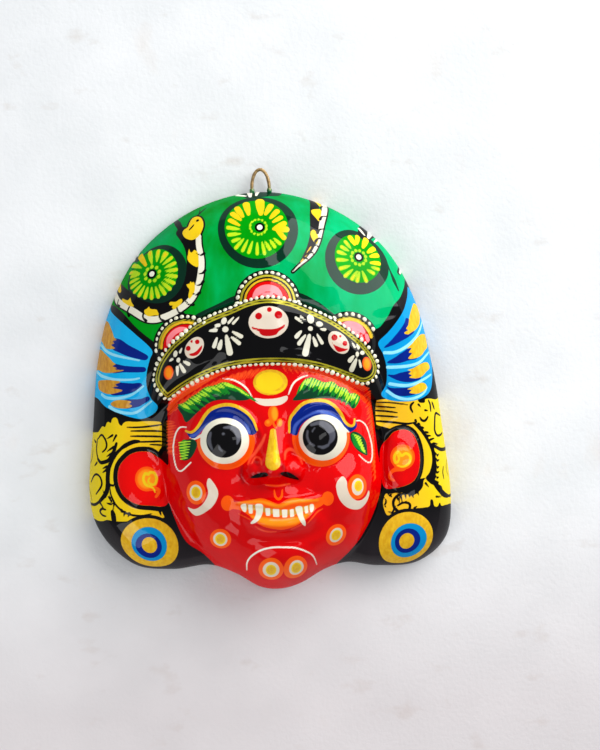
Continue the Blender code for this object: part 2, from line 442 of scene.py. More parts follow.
@dataclass(frozen=True)
class Enamel:
    """How one coat of enamel looks: its screen colour, a deeper one where it is thin, and its edge in millimetres."""

    bright: tuple[int, int, int]
    deep: tuple[int, int, int]
    patchiness: float = 0.6
    ragged: float = 0.22
    edge: float = 0.34

    @property
    def painted_shade(self) -> Colour:
        """A darker copy of the colour, laid as painted shade over the brightly lit right side of the mask."""
        return tuple(0.76 * part for part in shade(*self.deep))


class Coat(Enum):
    """The coats of paint, in the order in which the painter lays them over the black ground."""

    GREEN = Enamel((0, 166, 38), (0, 136, 24), 0.9)
    RING = Enamel((6, 62, 42), (0, 44, 30))
    LEAF = Enamel((0, 170, 16), (0, 138, 14))
    DARK = Enamel((14, 13, 15), (8, 7, 8))
    HAIR = Enamel((253, 216, 40), (238, 192, 24))
    RED = Enamel((232, 2, 4), (206, 0, 8))
    # Soft dark red round the nose: painted shade in its creases, over the painter's own darker red.
    NOSE_SHADE = Enamel((176, 0, 14), (146, 0, 10), edge=2.4)
    EMBER = Enamel((255, 104, 44), (244, 74, 26), edge=0.6)
    SALMON = Enamel((252, 104, 74), (240, 74, 40), edge=0.9)
    ORANGE = Enamel((255, 112, 16), (250, 88, 10))
    TANGERINE = Enamel((255, 160, 36), (250, 140, 22), edge=1.5)
    SKY = Enamel((36, 196, 242), (0, 164, 228))
    NAVY = Enamel((0, 46, 150), (0, 32, 114))
    MIST = Enamel((88, 116, 196), (54, 82, 166), edge=0.9)
    PALE = Enamel((172, 230, 246), (130, 212, 238))
    CREAM = Enamel((231, 219, 202), (220, 204, 183))
    WHITE = Enamel((239, 236, 220), (229, 224, 201))
    GOLD = Enamel((238, 198, 50), (212, 158, 26), 0.7, 0.3)
    OCHRE = Enamel((222, 170, 66), (190, 132, 50), 0.9, 0.3)
    BRAID = Enamel((204, 194, 60), (152, 146, 34), 1.0, 0.2)
    LEMON = Enamel((204, 230, 48), (170, 214, 38))
    AMBER = Enamel((244, 212, 38), (230, 190, 26))
    PINK = Enamel((255, 158, 162), (248, 128, 138))
    INK = Enamel((16, 14, 16), (9, 8, 10))
    # Grey arcs on the irises: a painted reflection of the glossy varnish.
    ASH = Enamel((118, 120, 126), (66, 66, 78), edge=0.8)
    BERRY = Enamel((210, 14, 22), (180, 6, 18))
    MOSS = Enamel((22, 88, 54), (10, 56, 38))
    SPROUT = Enamel((40, 160, 50), (10, 118, 44))
    SPRIG = Enamel((208, 240, 70), (164, 226, 60))
    CHALK = Enamel((246, 244, 232), (236, 232, 214))

    @property
    def store(self) -> str:
        """The name of the mesh attribute that holds the coat."""
        return f"coat_{self.name.lower()}"


# Rows of a coat and the shapes that are laid on it
Marks = tuple[tuple[Any, ...], ...]


class Canvas:
    """The painting, kept as each mesh point's signed distance to the edge of every coat."""

    def __init__(self, places: Array) -> None:
        """Starts a bare canvas over points of the painting plane."""
        self.places = places
        self.fields = {coat: np.full(len(places), REACH) for coat in Coat}

    def near(self, shape: Shape) -> Array:
        """Which points lie in or close to a shape's box."""
        low, high = shape.box()
        return np.flatnonzero(((self.places > low - REACH) & (self.places < high + REACH)).all(1))

    def lay(self, coat: Coat, *shapes: Shape, within: Shape | None = None) -> None:
        """Adds shapes, or the parts of them that lie inside another shape, to a coat."""
        for shape in shapes:
            near = self.near(shape)
            away = shape.distance(self.places[near])
            if within:
                away = np.maximum(away, within.distance(self.places[near]))
            self.fields[coat][near] = np.minimum(self.fields[coat][near], away)

    def lay_all(self, marks: Marks) -> None:
        """Adds each row's shapes to its coat."""
        for coat, *shapes in marks:
            self.lay(coat, *shapes)

    def scrape(self, coat: Coat, *shapes: Shape) -> None:
        """Takes shapes out of a coat."""
        for shape in shapes:
            near = self.near(shape)
            self.fields[coat][near] = np.maximum(self.fields[coat][near], -shape.distance(self.places[near]))


def dab(x0: float, y0: float, x1: float, y1: float, half_width: float, root: float = 0.5) -> Stroke:
    """One petal-like dab, drawn out from a root to a rounder tip."""
    return Stroke(((x0, y0), (x1, y1)), (half_width * root, half_width * 0.9, half_width))


def line(half_width: float, *numbers: float, taper: float = 0.6) -> Stroke:
    """A thin brushed line that thins out at its ends, from its points' coordinates."""
    end = half_width * taper
    return Stroke(path(*numbers), (end, half_width, half_width, half_width, end))


# Motifs of the headdress


@dataclass(frozen=True)
class Rosette:
    """A dark-rimmed green rosette of lemon petals round a dotted eye."""

    rim: Ellipse
    field: Ellipse
    eye: Point
    dot_ring: tuple[Point, float, int, float]
    petals: Rows
    fan: tuple[Point, float, float, tuple[float, float, int], float] | None = None
    small_petal: float = 1.55
    pupil: float = 3.3
    glint: float = 1.9

    def paint(self, canvas: Canvas) -> None:
        """Lays the rosette."""
        centre, radius, count, size = self.dot_ring
        dots = (disc(*dot, size) for dot in around(centre, radius, 2 * math.pi * (np.arange(count) + 0.3) / count))
        canvas.lay_all((
            (Coat.RING, self.rim), (Coat.LEAF, self.field), (Coat.LEMON, *dots),
            (Coat.INK, disc(*self.eye, self.pupil)), (Coat.CHALK, disc(*self.eye, self.glint)),
        ))
        for petal in self.petals:
            self.paint_petal(canvas, *petal)
        if self.fan:
            centre, inner, outer, (start, stop, count), size = self.fan
            turns = np.radians(np.linspace(start, stop, count))
            for root, tip in zip(around(centre, inner, turns), around(centre, outer, turns)):
                self.paint_petal(canvas, *root, *tip, size)

    def paint_petal(self, canvas: Canvas, x0: float, y0: float, x1: float, y1: float, size: float) -> None:
        """Lays one petal: a large one all amber, a small one lemon with an amber core."""
        if size > self.small_petal:
            canvas.lay(Coat.AMBER, dab(x0, y0, x1, y1, size))
        else:
            canvas.lay(Coat.LEMON, dab(x0, y0, x1, y1, size, root=0.35))
            core = (((x0 + x1) / 2, (y0 + y1) / 2), (x1, y1))
            canvas.lay(Coat.AMBER, Stroke(core, (0.15, size - 0.72)))


@dataclass(frozen=True)
class Snake:
    """A black snake with gold patches and a segmented cream belly."""

    back: Outline
    belly: Outline
    patches: Outlines
    creases: Outline
    back_widths: Row = (4.2, 4.2)
    belly_widths: Row = (1.0, 2.1, 2.1, 2.1, 1.4)
    sag: float = 0.22

    def paint(self, canvas: Canvas) -> None:
        """Lays the snake."""
        shadow = tuple(width + 1.0 for width in self.belly_widths)
        canvas.lay(Coat.DARK, Stroke(self.back, self.back_widths), Stroke(self.belly, shadow))
        canvas.lay(Coat.WHITE, Stroke(self.belly, self.belly_widths))
        canvas.lay(Coat.AMBER, *(Patch(patch) for patch in self.patches))
        for (x0, y0), (x1, y1) in zip(self.creases[::2], self.creases[1::2]):
            bend = ((x0 + x1) / 2 + self.sag * (y1 - y0), (y0 + y1) / 2 - self.sag * (x1 - x0))
            canvas.lay(Coat.INK, Stroke(((x0, y0), bend, (x1, y1)), (0.55, 0.6, 1.0)))


@dataclass(frozen=True)
class Headdress:
    """The green hair with its rosettes, snakes and tufts of white."""

    field: Patch = Patch(
        path(-62, 150, -100, 124, -128, 92, -120, 73, -104, 62, -94, 53, -86, 44, -77, 36, -71, 33, -60, 40,
            -45.5, 50, -32, 55.9, -20.2, 61.2, 0, 66, 19.8, 61.8, 33.3, 54.7, 42.1, 47.6, 56, 41, 70, 37, 78, 44,
            83, 52, 89, 58, 95, 67, 104, 80, 122, 84, 112, 116, 70, 152, 20, 172, -20, 172))
    rosettes: tuple[Rosette, ...] = (
        Rosette(oval(-72, 78, 21.5, 21.5), oval(-74.5, 79.2, 17.6, 17.6), (-74.4, 78.3),
            ((-74.3, 78.3), 5.1, 9, 1.35),
            ((-79.2, 85.6, -86.4, 97.2, 2.2), (-74.8, 86.1, -77.3, 95.6, 1.9), (-71.2, 86.7, -70.6, 94.6, 1.6),
             (-68.1, 86.1, -65.6, 92.2, 1.4), (-82.6, 84.4, -92, 91, 1.8), (-83.7, 80.6, -92.5, 84.5, 1.7)),
            ((-74.4, 78.4), 9.2, 16.4, (52, -186, 16), 1.35), small_petal=2),
        Rosette(oval(-4, 105, 26.2, 27), oval(-5, 106, 20.8, 21.7), (-2.9, 105.5), ((-3.8, 105.8), 5.4, 14, 0.95),
            ((-1.7, 115.5, -1.7, 126.5, 3.1), (-9.7, 115.5, -11, 124.5, 2.4), (-13.5, 114, -17, 121, 2.1),
             (-15, 111.5, -20.3, 116.6, 1.8), (-16, 107.5, -22, 111.6, 1.6), (-15.5, 104.5, -23.4, 106.3, 1.5),
             (-15.5, 101.5, -22.9, 101.2, 1.4), (-15.5, 98.5, -20.6, 96.7, 1.3), (-13.5, 98, -19, 92, 1.3),
             (-11, 97, -14.7, 90, 1.2), (-8, 96, -10.8, 88.6, 1.2), (-5, 95.5, -5.4, 87.6, 1.2),
             (-2, 95.5, -0.6, 87.6, 1.2), (0, 96, 2.8, 90.4, 1.2), (3, 97, 6.2, 91.9, 1.2),
             (5.5, 98, 9.6, 93.9, 1.2), (8, 103, 12.5, 97.8, 1.7), (6, 104, 14.5, 103.5, 2),
             (7, 105, 13.2, 107.8, 1.8), (6, 109, 11.3, 112.3, 1.6), (4.5, 112, 9.2, 117.2, 1.9),
             (1.5, 115, 5.3, 122, 2.1))),
        Rosette(oval(61, 82.5, 22.5, 23), oval(61.3, 84.3, 16.2, 17), (61.5, 84.6), ((61.4, 84.3), 5.1, 11, 1.15),
            ((59.5, 93.5, 57.2, 98.6, 1.9), (61.5, 94.5, 62.8, 100, 1.8), (65.5, 92, 69.3, 99, 2.2),
             (68.5, 88.5, 73.8, 92.3, 1.9), (70, 85.5, 75.6, 87.3, 1.8), (69.5, 81, 75.6, 81, 1.6),
             (69.5, 78, 74.6, 76.7, 1.4), (66.5, 76, 70.7, 73.7, 1.4), (63, 75, 65.3, 68.4, 1.4),
             (61, 74.5, 59.1, 68.4, 1.4), (59.5, 75, 55.7, 69.8, 1.4), (56.5, 76, 51.3, 71.8, 1.4),
             (55, 78.5, 48.4, 76.7, 1.4), (54, 82.3, 47, 82.5, 1.4), (53, 86, 47.9, 87.8, 1.4),
             (55, 88.5, 50.4, 91.3, 1.4), (56.5, 90.5, 53.3, 95.1, 1.4))))
    long_snake: Snake = Snake(
        back=path(-54.5, 107, -49, 97, -47, 88, -47.5, 76, -51, 66, -58, 58, -66, 54.5, -75, 54.5, -83, 57.5,
            -90, 62.5, -97, 69, -108, 80),
        belly=path(-43, 101.5, -42.9, 95, -41.5, 85, -42, 77.5, -43.6, 70, -46.4, 63.5, -50, 58.6, -56.5, 53.8,
            -64.5, 49.9, -72.5, 47.9, -79.5, 49.2, -88.5, 55.2, -99.5, 63, -105, 69.5, -111.5, 78),
        patches=(
            path(-49.6, 94, -48.6, 91, -47.2, 90.6, -46, 92.3, -43.6, 90, -43.2, 84, -43.6, 80.6, -46.4, 81.4,
                -49, 83.6, -50.6, 86.4, -50, 90),
            path(-51.6, 70, -49.6, 69.6, -49, 71.4, -47.6, 70.2, -46.6, 71.4, -46.2, 66.5, -47.4, 63, -50, 60,
                -50.6, 62.5, -49.8, 66, -51.2, 68),
            path(-63.3, 57.5, -62.5, 58.8, -59, 58.6, -56, 60.3, -54.5, 60, -55, 57.8, -58, 55, -59.8, 53.8,
                -61.6, 54.6, -60.6, 56.2, -62.4, 56.4),
            path(-79.6, 54.5, -77.6, 55.4, -76.6, 57, -75.6, 55, -71.6, 54.2, -70.4, 52, -68.4, 50.2, -73, 50.6,
                -77, 50.2, -79.6, 52.4),
            path(-97, 65.5, -93, 63, -91, 62.8, -89.8, 64.4, -88.8, 60.8, -86.6, 57.5, -90, 58.2, -93, 60.2,
                -96.5, 63), path(-114, 90, -107, 85.5, -101.5, 77, -99.5, 71, -104, 74, -108.5, 80, -114, 84)),
        creases=path(-44.3, 89.6, -39.4, 89.4, -43.8, 76.4, -39.2, 78, -45.8, 69, -40.6, 71, -48, 63.6, -43, 63.8,
            -52.4, 58.8, -47.4, 56.2, -58.4, 55, -54, 50.6, -69.7, 51.8, -67, 46.6, -80.2, 53, -78.6, 47.2,
            -90.2, 57.8, -90.4, 51.6, -101, 66, -98.9, 60), belly_widths=(1.8, 2, 2, 2.1, 2.2, 2.2))
    snake_head: Patch = Patch(
        path(-45, 119, -41.5, 116.5, -39.7, 111, -40.5, 106, -43, 101.5, -47.5, 99.3, -52, 101.5, -54, 105.5,
            -53, 108.5, -50.5, 110, -49.5, 114, -48, 118))
    short_snake: Snake = Snake(
        back=path(38, 146, 37.6, 136, 36.2, 126, 34.4, 116, 33, 107, 31.6, 99, 29.2, 92, 26.4, 87, 23, 82, 19.6, 78),
        belly=path(48.8, 143, 45.6, 134.4, 43.2, 123.8, 40.7, 115, 38.8, 109, 37, 102.5, 35, 95.5, 31.9, 89,
            27.5, 84, 22, 79.6, 17, 75.2),
        patches=(
            path(32.8, 119.6, 35.5, 121.2, 39.8, 122, 39.2, 116.5, 37.5, 111.5, 36.6, 110, 34.8, 113, 32.7, 116.4),
            path(30.2, 101.3, 32.3, 103.4, 34.6, 100.6, 35, 96.5, 33.9, 93.2, 32, 94.8, 30.4, 98),
            path(38.4, 150, 43.6, 150, 43, 136, 41.4, 127.6, 39.8, 127, 38.8, 136)),
        creases=path(45.8, 128, 40.5, 125, 42.8, 115, 37.8, 111.6, 39.8, 104, 34.8, 101, 37.6, 97, 33, 95,
            34.8, 91.4, 31, 92, 31.4, 86.2, 28.2, 87.6, 27.4, 82.4, 24.8, 84.2),
        back_widths=(3.6, 3.5, 3.4, 3.3, 3.2, 2.6, 2.1, 1.7, 1.1, 0.4), belly_widths=(2.3, 2.1, 1.9, 1.4, 0.9, 0.4))
    tufts: Rows = ((-11, 135, -17, 140, 1.7), (-15.5, 138.5, -19, 146, 1.5), (-8, 133.5, -8.6, 148, 2.1),
        (-3.8, 135, -2, 148, 1.6), (69.3, 103.6, 67, 109.3, 1.5), (72, 102, 82, 118, 2.3),
        (76.4, 99.3, 88.6, 113.6, 1.2), (94.6, 78.6, 104.6, 90, 1.7), (-93, 97.5, -100, 106, 1.8),
        (-90, 100, -95, 110, 1.3))

    marks: Marks = (
        (Coat.RING, Patch(path(-12, 133, -14, 160, 12, 162, 14, 138, 4, 133)),
         Stroke(path(93, 78, 104, 91), (1.8, 3)), Stroke(path(-89, 95, -106, 112), (2.2, 4)),
         Stroke(path(79.5, 92, 82, 84, 84.4, 76, 86.5, 69, 88.8, 63), (0.4, 1.2, 0.6, 1.5, 0.5))),
        (Coat.DARK, Patch(path(64, 103, 70, 98, 84, 112, 96, 128, 86, 134, 70, 116)),
         Stroke(path(-53.5, 104, -57, 113, -64, 128), (1.5, 2.2, 1.6)),
         line(0.6, -45.5, 118, -42.5, 122.5, -38.5, 128), line(0.5, -43, 121.5, -43.5, 128)),
        (Coat.INK, disc(-43.9, 114.6, 1.2), line(0.55, -49.6, 107, -47.5, 109.5, -46, 111.6)),
        (Coat.GOLD, line(0.5, 29.8, 91.6, 28.4, 89.4, 26.8, 87.4), line(0.5, 27, 86, 24.6, 83.6, 22, 81)))

    def paint(self, canvas: Canvas) -> None:
        """Lays the green field and all that is painted on it."""
        canvas.lay(Coat.GREEN, self.field)
        for motif in (*self.rosettes, self.long_snake, self.short_snake):
            motif.paint(canvas)
        canvas.lay(Coat.DARK, Hoop(self.snake_head, 1.2))
        canvas.lay(Coat.AMBER, self.snake_head)
        canvas.lay(Coat.CHALK, *(dab(*tuft) for tuft in self.tufts))
        canvas.lay_all(self.marks)


# Motifs of the crown


@dataclass(frozen=True)
class Skull:
    """A round white skull with red sockets and a red grin."""

    head: Ellipse
    sockets: Rows
    grin: Outline

    def paint(self, canvas: Canvas) -> None:
        """Lays the skull."""
        canvas.lay(Coat.CREAM, self.head)
        canvas.lay(Coat.BERRY, Patch(self.grin), *(disc(*socket) for socket in self.sockets))


@dataclass(frozen=True)
class CrestLobe:
    """A red crest lobe with gold arcs, pink strokes and a beaded edge, cut off by the crown below it; the pink is
    partly the painter's and partly a painted highlight on the dome.
    """

    centre: Point
    radius: float
    start: float
    stop: float
    gold_arcs: Rows
    pink_arcs: Rows
    hem: float = 4.0

    def arc(self, radius: float, start: float, stop: float) -> Array:
        """Points along a part of a circle about the lobe's centre, between two directions in degrees."""
        return around(self.centre, radius, np.radians(np.linspace(start, stop, 9)))

    def paint(self, canvas: Canvas) -> None:
        """Lays the lobe."""
        inner_radius, inner_width = self.gold_arcs[-1]
        canvas.lay(Coat.DARK, disc(*self.centre, self.radius + 1.9))
        canvas.lay(Coat.RED, disc(*self.centre, inner_radius - inner_width - 0.5))
        for coat, (radius, half_width) in zip((Coat.BRAID, Coat.GOLD), self.gold_arcs):
            canvas.lay(coat, Stroke(self.arc(radius, self.start + self.hem, self.stop - 4), (half_width,) * 2))
        # Pink strokes: partly the painter's pink, partly a painted highlight on the domed lobe.
        for radius, start, stop, half_width in self.pink_arcs:
            canvas.lay(Coat.PINK, line(half_width, *self.arc(radius, start, stop).ravel(), taper=0.4))

    def beads(self) -> Array:
        """The line that the edge's beads follow."""
        return smooth_line(self.arc(self.radius, self.start, self.stop), closed=False)


@dataclass(frozen=True)
class Crown:
    """The black crown band over the forehead, edged with gold lines and beads."""

    edge: Patch = Patch(
        path(-68.5, 25.3, -62.5, 32, -55, 37.8, -48, 43.2, -36.5, 48.7, -24.5, 52.8, -13, 57.3, 0, 59.2, 13.5, 56.8,
            24.3, 52.2, 35, 47.2, 44.5, 42, 54, 35, 62, 28, 69, 19, 71, 11, 67.5, 4.5, 60, 1.8, 51, 5.3, 40, 9.7,
            28, 13.4, 15.5, 15.7, 0, 16.6, -14, 16.3, -29, 14.3, -44, 9, -55, 3.3, -62, -1.4, -66.3, -3.9, -70, -1,
            -74, 5, -75, 10.5, -72.5, 19))
    lobes: tuple[CrestLobe, ...] = (
        CrestLobe((0, 55.5), 19.6, 1, 179, ((17.4, 0.75), (14.9, 0.7)),
            ((9.4, 18, 165, 2.3), (5.4, 40, 150, 1.2), (3.2, 60, 130, 0.8))),
        CrestLobe((-53.5, 29.5), 19.2, 50, 185, ((17.1, 0.5), (15.6, 0.85)),
            ((11.6, 84, 174, 1.7), (7.6, 98, 156, 1))),
        CrestLobe((51.5, 28), 18.9, 28, 118, ((16.9, 0.4), (15.6, 1)),
            ((12.2, 32, 112, 2.3), (8.2, 36, 80, 1.3), (12.8, 3, 27, 1.3), (9.4, 4, 34, 0.9)), hem=-14))
    skulls: tuple[Skull, ...] = (
        Skull(oval(-0.2, 43, 12.7, 10.2), ((-6.4, 47, 2.2), (6.2, 47.4, 2.5), (0.6, 50.9, 1.6)),
            path(-10.9, 40.6, -8, 39.5, -4, 38.8, 0, 38.5, 4, 38.7, 7.5, 39.8, 10.2, 41.5, 9.8, 39.6, 7.6, 38,
                5.9, 36.8, 4.6, 35.1, 2, 34.4, -1, 34.2, -4, 34.6, -5.7, 35.8, -6.5, 37.3, -8.6, 38.3, -10.8, 39.1)),
        Skull(oval(-47.8, 28.6, 7.5, 5.3, 52), ((-45.8, 32.2, 1.5), (-51.7, 28.3, 1.6), (-49.4, 32.6, 0.9)),
            path(-52, 24.9, -49.6, 25.1, -47.5, 25.8, -45.6, 27.3, -43.6, 29.4, -42.6, 30.3, -43, 27.8, -44.4, 25.6,
                -46, 24, -48.4, 23.3, -50.6, 23.7)),
        Skull(oval(44.4, 28.8, 8.3, 5.6, -50), ((41.7, 32, 2), (48.4, 28.1, 1.65), (45.6, 32.7, 0.9)),
            path(39.5, 29.6, 41.6, 27.4, 44.6, 25.9, 47.8, 24.8, 50.5, 24.5, 48.4, 23.3, 46.2, 22.9, 44, 22.8,
                42.4, 24.2, 40.9, 26.8)))
    flowers: Rows = ((-22.2, 46.9, -25.6, 43.4, 0.85), (-18.8, 46.7, -22.7, 42.9, 0.85),
        (-34.2, 42, -31.8, 42.1, 1.2), (-38, 38.9, -33.7, 39.1, 1.2), (-33.2, 34.2, -35.3, 28.9, 1.3),
        (-30.5, 32.5, -31.9, 27.9, 1.5), (-27.2, 35, -25.4, 24.7, 2.05), (-24.1, 34.4, -19.3, 30.3, 1.3),
        (-23.3, 37.8, -17.8, 34.5, 1.3), (21.3, 41.8, 17.2, 45.2, 0.95), (22.9, 43.8, 20.3, 46, 0.75),
        (32.9, 37.5, 35.7, 37.2, 1.05), (20.3, 36.6, 17.2, 33.3, 1.4), (22.8, 33.9, 18.8, 28.9, 1.4),
        (25.5, 33.8, 22.6, 22.6, 2.1), (28, 32.5, 29.7, 27.6, 1.3), (30.5, 34.4, 33.6, 28.8, 1.15),
        (-55.8, 28.6, -57.1, 26, 0.78), (-64.1, 20.8, -62.3, 21.8, 0.9), (-54.9, 20.1, -51.8, 18.4, 1.25),
        (-57.4, 18.6, -54.9, 13.9, 1.3), (-59.2, 11.4, -59.2, 16.6, 1), (53.1, 28.9, 55, 25.5, 0.75),
        (56.8, 28, 57.5, 25, 1.05), (53.7, 19.7, 51.3, 17.1, 1.45), (55.5, 17.6, 52.5, 11.3, 1.7),
        (57.6, 17.4, 58.5, 13, 0.9))
    flower_hearts: tuple[Ellipse, ...] = (oval(-27.7, 39.4, 2.05, 1.9), oval(-28.4, 44.8, 1.75, 2.3, -24),
        oval(26.3, 38.1, 1.7, 1.5, -20), oval(26.6, 44.2, 2.3, 3, 12), oval(32.2, 40.8, 2.35, 1.7, -10),
        oval(-58.3, 21.2, 1.3, 1.6, -20), oval(-60.1, 25.2, 1.35, 2.15, -14), oval(56.4, 21, 1.15, 1.75),
        oval(60, 21.8, 1.65, 1.4))
    drops: tuple[Ellipse, ...] = (oval(-64.9, 13.4, 3.1, 4.5, -8), oval(62.8, 14.6, 3.1, 4.5, 8))
    drop_hearts: tuple[Ellipse, ...] = (oval(-64.9, 13.4, 2.232, 3.42), oval(62.8, 14.6, 2.232, 3.42))
    shadows: tuple[Patch, ...] = (Patch(path(-49, 44, -46, 50, -32, 56, -19, 61.5, -17, 54, -40, 42), sharp=True),
        Patch(path(20, 55, 19, 62, 33.3, 55, 43, 47, 40, 40), sharp=True))
    bare_corner: Ellipse = disc(69, 24, 6.5)
    braid_depth: float = 2.6
    bead_gap: float = 3.55

    def paint(self, canvas: Canvas) -> None:
        """Lays the band, its lobes and all that is painted on it."""
        canvas.lay(Coat.RING, *self.shadows)
        for lobe in self.lobes:
            lobe.paint(canvas)
        for coat in (Coat.RED, Coat.BRAID, Coat.PINK, Coat.GOLD):
            canvas.scrape(coat, self.edge)
        canvas.scrape(Coat.RED, self.bare_corner)
        for skull in self.skulls:
            skull.paint(canvas)
        canvas.lay_all((
            (Coat.DARK, self.edge, Hoop(self.edge, 2.2)), (Coat.BRAID, Hoop(self.edge, 1.35, self.braid_depth)),
            (Coat.INK, Hoop(self.edge, 0.42, self.braid_depth)), (Coat.EMBER, *self.drops),
            (Coat.TANGERINE, *self.drop_hearts),
            (Coat.WHITE, *(dab(*flower) for flower in self.flowers), *self.flower_hearts),
        ))

    def bead_places(self) -> Array:
        """Where each white bead sits on the painting plane, along the crown's edge and the lobes'."""
        rows = [smooth_line(self.edge.points, closed=True)] + [lobe.beads() for lobe in self.lobes]
        places = []
        for row in rows:
            length = run_along(row)[-1]
            count = round(length / self.bead_gap)
            places.append(places_along(row, np.linspace(0, length, count, endpoint=row is not rows[0])))
        return np.vstack(places)


# Motifs of the sides


@dataclass(frozen=True)
class FeatherFan:
    """A fan of gold-tipped blue feathers beside the crown."""

    vane: Outline
    folds: Outlines
    tips: Outlines
    quills: Outlines
    tip_coat: Coat = Coat.OCHRE

    def paint(self, canvas: Canvas) -> None:
        """Lays the fan."""
        vane = Patch(self.vane)
        canvas.lay_all((
            (Coat.DARK, vane, Hoop(vane, 2.5)), (Coat.SKY, vane), (Coat.NAVY, *map(Patch, self.folds)),
            (self.tip_coat, *map(Patch, self.tips)),
            (Coat.PALE, *(Stroke(quill, (1.05, 1.0, 0.85, 0.6)) for quill in self.quills)),
        ))


LEFT_FAN = FeatherFan(
    vane=path(-77, 22.5, -75.5, 28.5, -86, 39, -97, 49, -108, 59, -119, 70.5, -132, 62, -134, 30, -131, 4, -126, 1,
        -117.9, -1.5, -110, -7, -100, -11.5, -90, -15, -82.9, -15.8, -75.5, -12.5, -73, -7.9, -77, -3, -79.5, 3,
        -80, 9, -79, 16),
    folds=(
        path(-107, 36, -103, 38, -97, 36.6, -91, 32.4, -84, 28.4, -79, 25.4, -78, 23.6, -80, 22, -85, 23, -92, 25.2,
            -98, 28, -103, 30.6),
        path(-107, 22, -103, 21.4, -95, 19.2, -88, 18.2, -80.6, 17.4, -80.6, 14.6, -88, 14.4, -95, 14.8, -104, 15.2),
        path(-106, 8, -101, 8.6, -90, 7.4, -84.4, 7.5, -82.8, 5.8, -86, 3, -92, 0.8, -98, 0, -105, 0.8),
        path(-96, -3.4, -85, -3, -79.4, -1.4, -78, -3.4, -82, -6, -87, -8.2, -96, -8.6)),
    tips=(
        path(-134, 56, -121, 57, -113, 53.8, -108, 49.2, -104, 43, -102, 38.6, -99.6, 36.6, -103.6, 36.2,
            -101.4, 34.4, -105, 34, -100.6, 31, -107, 31.4, -111, 33.2, -116, 38, -122, 42, -134, 46),
        path(-134, 38, -127, 37, -118, 33.8, -112, 30, -106, 25.2, -103, 22.2, -100.6, 20.4, -103.6, 19.4, -99.4, 18,
            -102, 17, -94.4, 16.2, -100, 15.2, -106, 15.1, -112, 16.2, -119, 19, -134, 24),
        path(-119, 11, -112, 11, -104, 10.2, -97.2, 8.7, -101.6, 7, -99, 5.8, -104.4, 5.2, -96, 3.2, -101, 1.5,
            -107, 1.1, -113, 3, -118, 6),
        path(-105.4, -5.6, -102, -3.4, -97, -3.1, -92, -3.9, -90.2, -4.8, -92.2, -5.8, -90, -7.4, -94, -8.8,
            -101, -8.2)),
    quills=(path(-130, 43, -118, 37, -111, 31.6, -104, 27.6, -96, 24.9, -84, 22),
            path(-128, 21.5, -119, 16.6, -112.1, 13.4, -101.4, 10.4, -90, 9.8, -84.6, 10.5),
            path(-113.6, 1.4, -108.6, -1.2, -100, -2, -90, 0, -82, 5.4),
            path(-106.4, -7.2, -101.4, -10, -94.3, -11.8, -87, -11.4, -77, -4.6)))

RIGHT_FAN = FeatherFan(
    vane=path(71.5, 28, 78.2, 34.4, 85.3, 42, 91.2, 50, 96.5, 60.3, 103, 71, 116, 62, 124, 40, 122, 20, 116, 6,
        111, -3, 104.7, -7.8, 95, -10.5, 84, -10.5, 76, -8.5, 72.4, -5.2, 76, 0, 77, 7, 76.5, 14, 74.5, 21),
    folds=(path(75.2, 24.6, 80, 29, 86, 35, 90.6, 40.6, 93, 44.6, 98, 41, 99, 36, 94, 32, 88, 29, 82, 26.4),
           path(77, 15, 83, 18.4, 89, 22, 96, 25, 100, 18, 92, 16, 85, 14.4),
           path(77, 7.2, 82, 7, 87, 8.3, 96, 9, 102, 4.4, 96, 2.2, 90, 2, 84, 3.4),
           path(75.9, 0, 80, -1.5, 87, -1.8, 97, -2, 97, -6.2, 88, -7.2, 82, -5.5)),
    tips=(
        path(90, 34.2, 93.6, 36.4, 91.8, 37, 94, 40, 95.4, 45, 98, 50.2, 101, 54.6, 105, 58, 116, 59, 111, 50,
            106.5, 43, 103, 39.4, 100, 37, 96, 34.8, 93, 33.4),
        path(91.8, 24, 95.4, 24.4, 93, 21.4, 95.6, 21, 92.4, 17.4, 98, 17.6, 104, 20, 109, 24, 116, 29, 116, 37,
            108.5, 35.6, 105, 34.4, 100, 31, 95.6, 27),
        path(91.4, 9.8, 94.6, 8.8, 92.2, 7.4, 95, 6.4, 92.6, 5, 98, 4.2, 103, 5.6, 108, 9, 113, 12, 112, 15.2,
            107, 15.4, 101, 13.4, 96, 11),
        path(91.2, -2.8, 94.4, -3.4, 92.6, -5.2, 98, -6, 103, -4.6, 107, -1.8, 105, 1, 101, 1.2, 96, -0.9)),
    quills=(path(75.5, 21.5, 82, 21.5, 88, 23.5, 94, 27, 100, 32, 105, 37.5, 112, 45, 121, 52),
            path(77.5, 12, 84, 12, 92, 12.5, 99, 14, 104, 16.5, 109, 20, 118, 25),
            path(78.8, 1.2, 86, 0, 92, -0.2, 98, 1, 103, 3, 114, 7.6),
            path(77, -3.4, 82, -6.8, 88, -9, 94, -9.2, 100, -7.5, 104.4, -5, 107, -1.8)), tip_coat=Coat.GOLD)


@dataclass(frozen=True)
class CloudHair:
    """The yellow hair beside an ear, drawn over with black scrolls, stripes and comb strokes."""

    lock: Outline
    strokes: Rows
    combs: Rows
    gaps: Outlines = ()
    weight: float = 1.25

    def paint(self, canvas: Canvas) -> None:
        """Lays the hair."""
        canvas.lay(Coat.HAIR, Patch(self.lock))
        canvas.lay(Coat.INK, *map(Patch, self.gaps))
        for half_width, *numbers in self.strokes:
            canvas.lay(Coat.INK, line(half_width * self.weight, *numbers, taper=0.7))
        for comb in self.combs:
            canvas.lay(Coat.INK, Stroke(path(*comb), (0.8, 0.65, 0.25)))


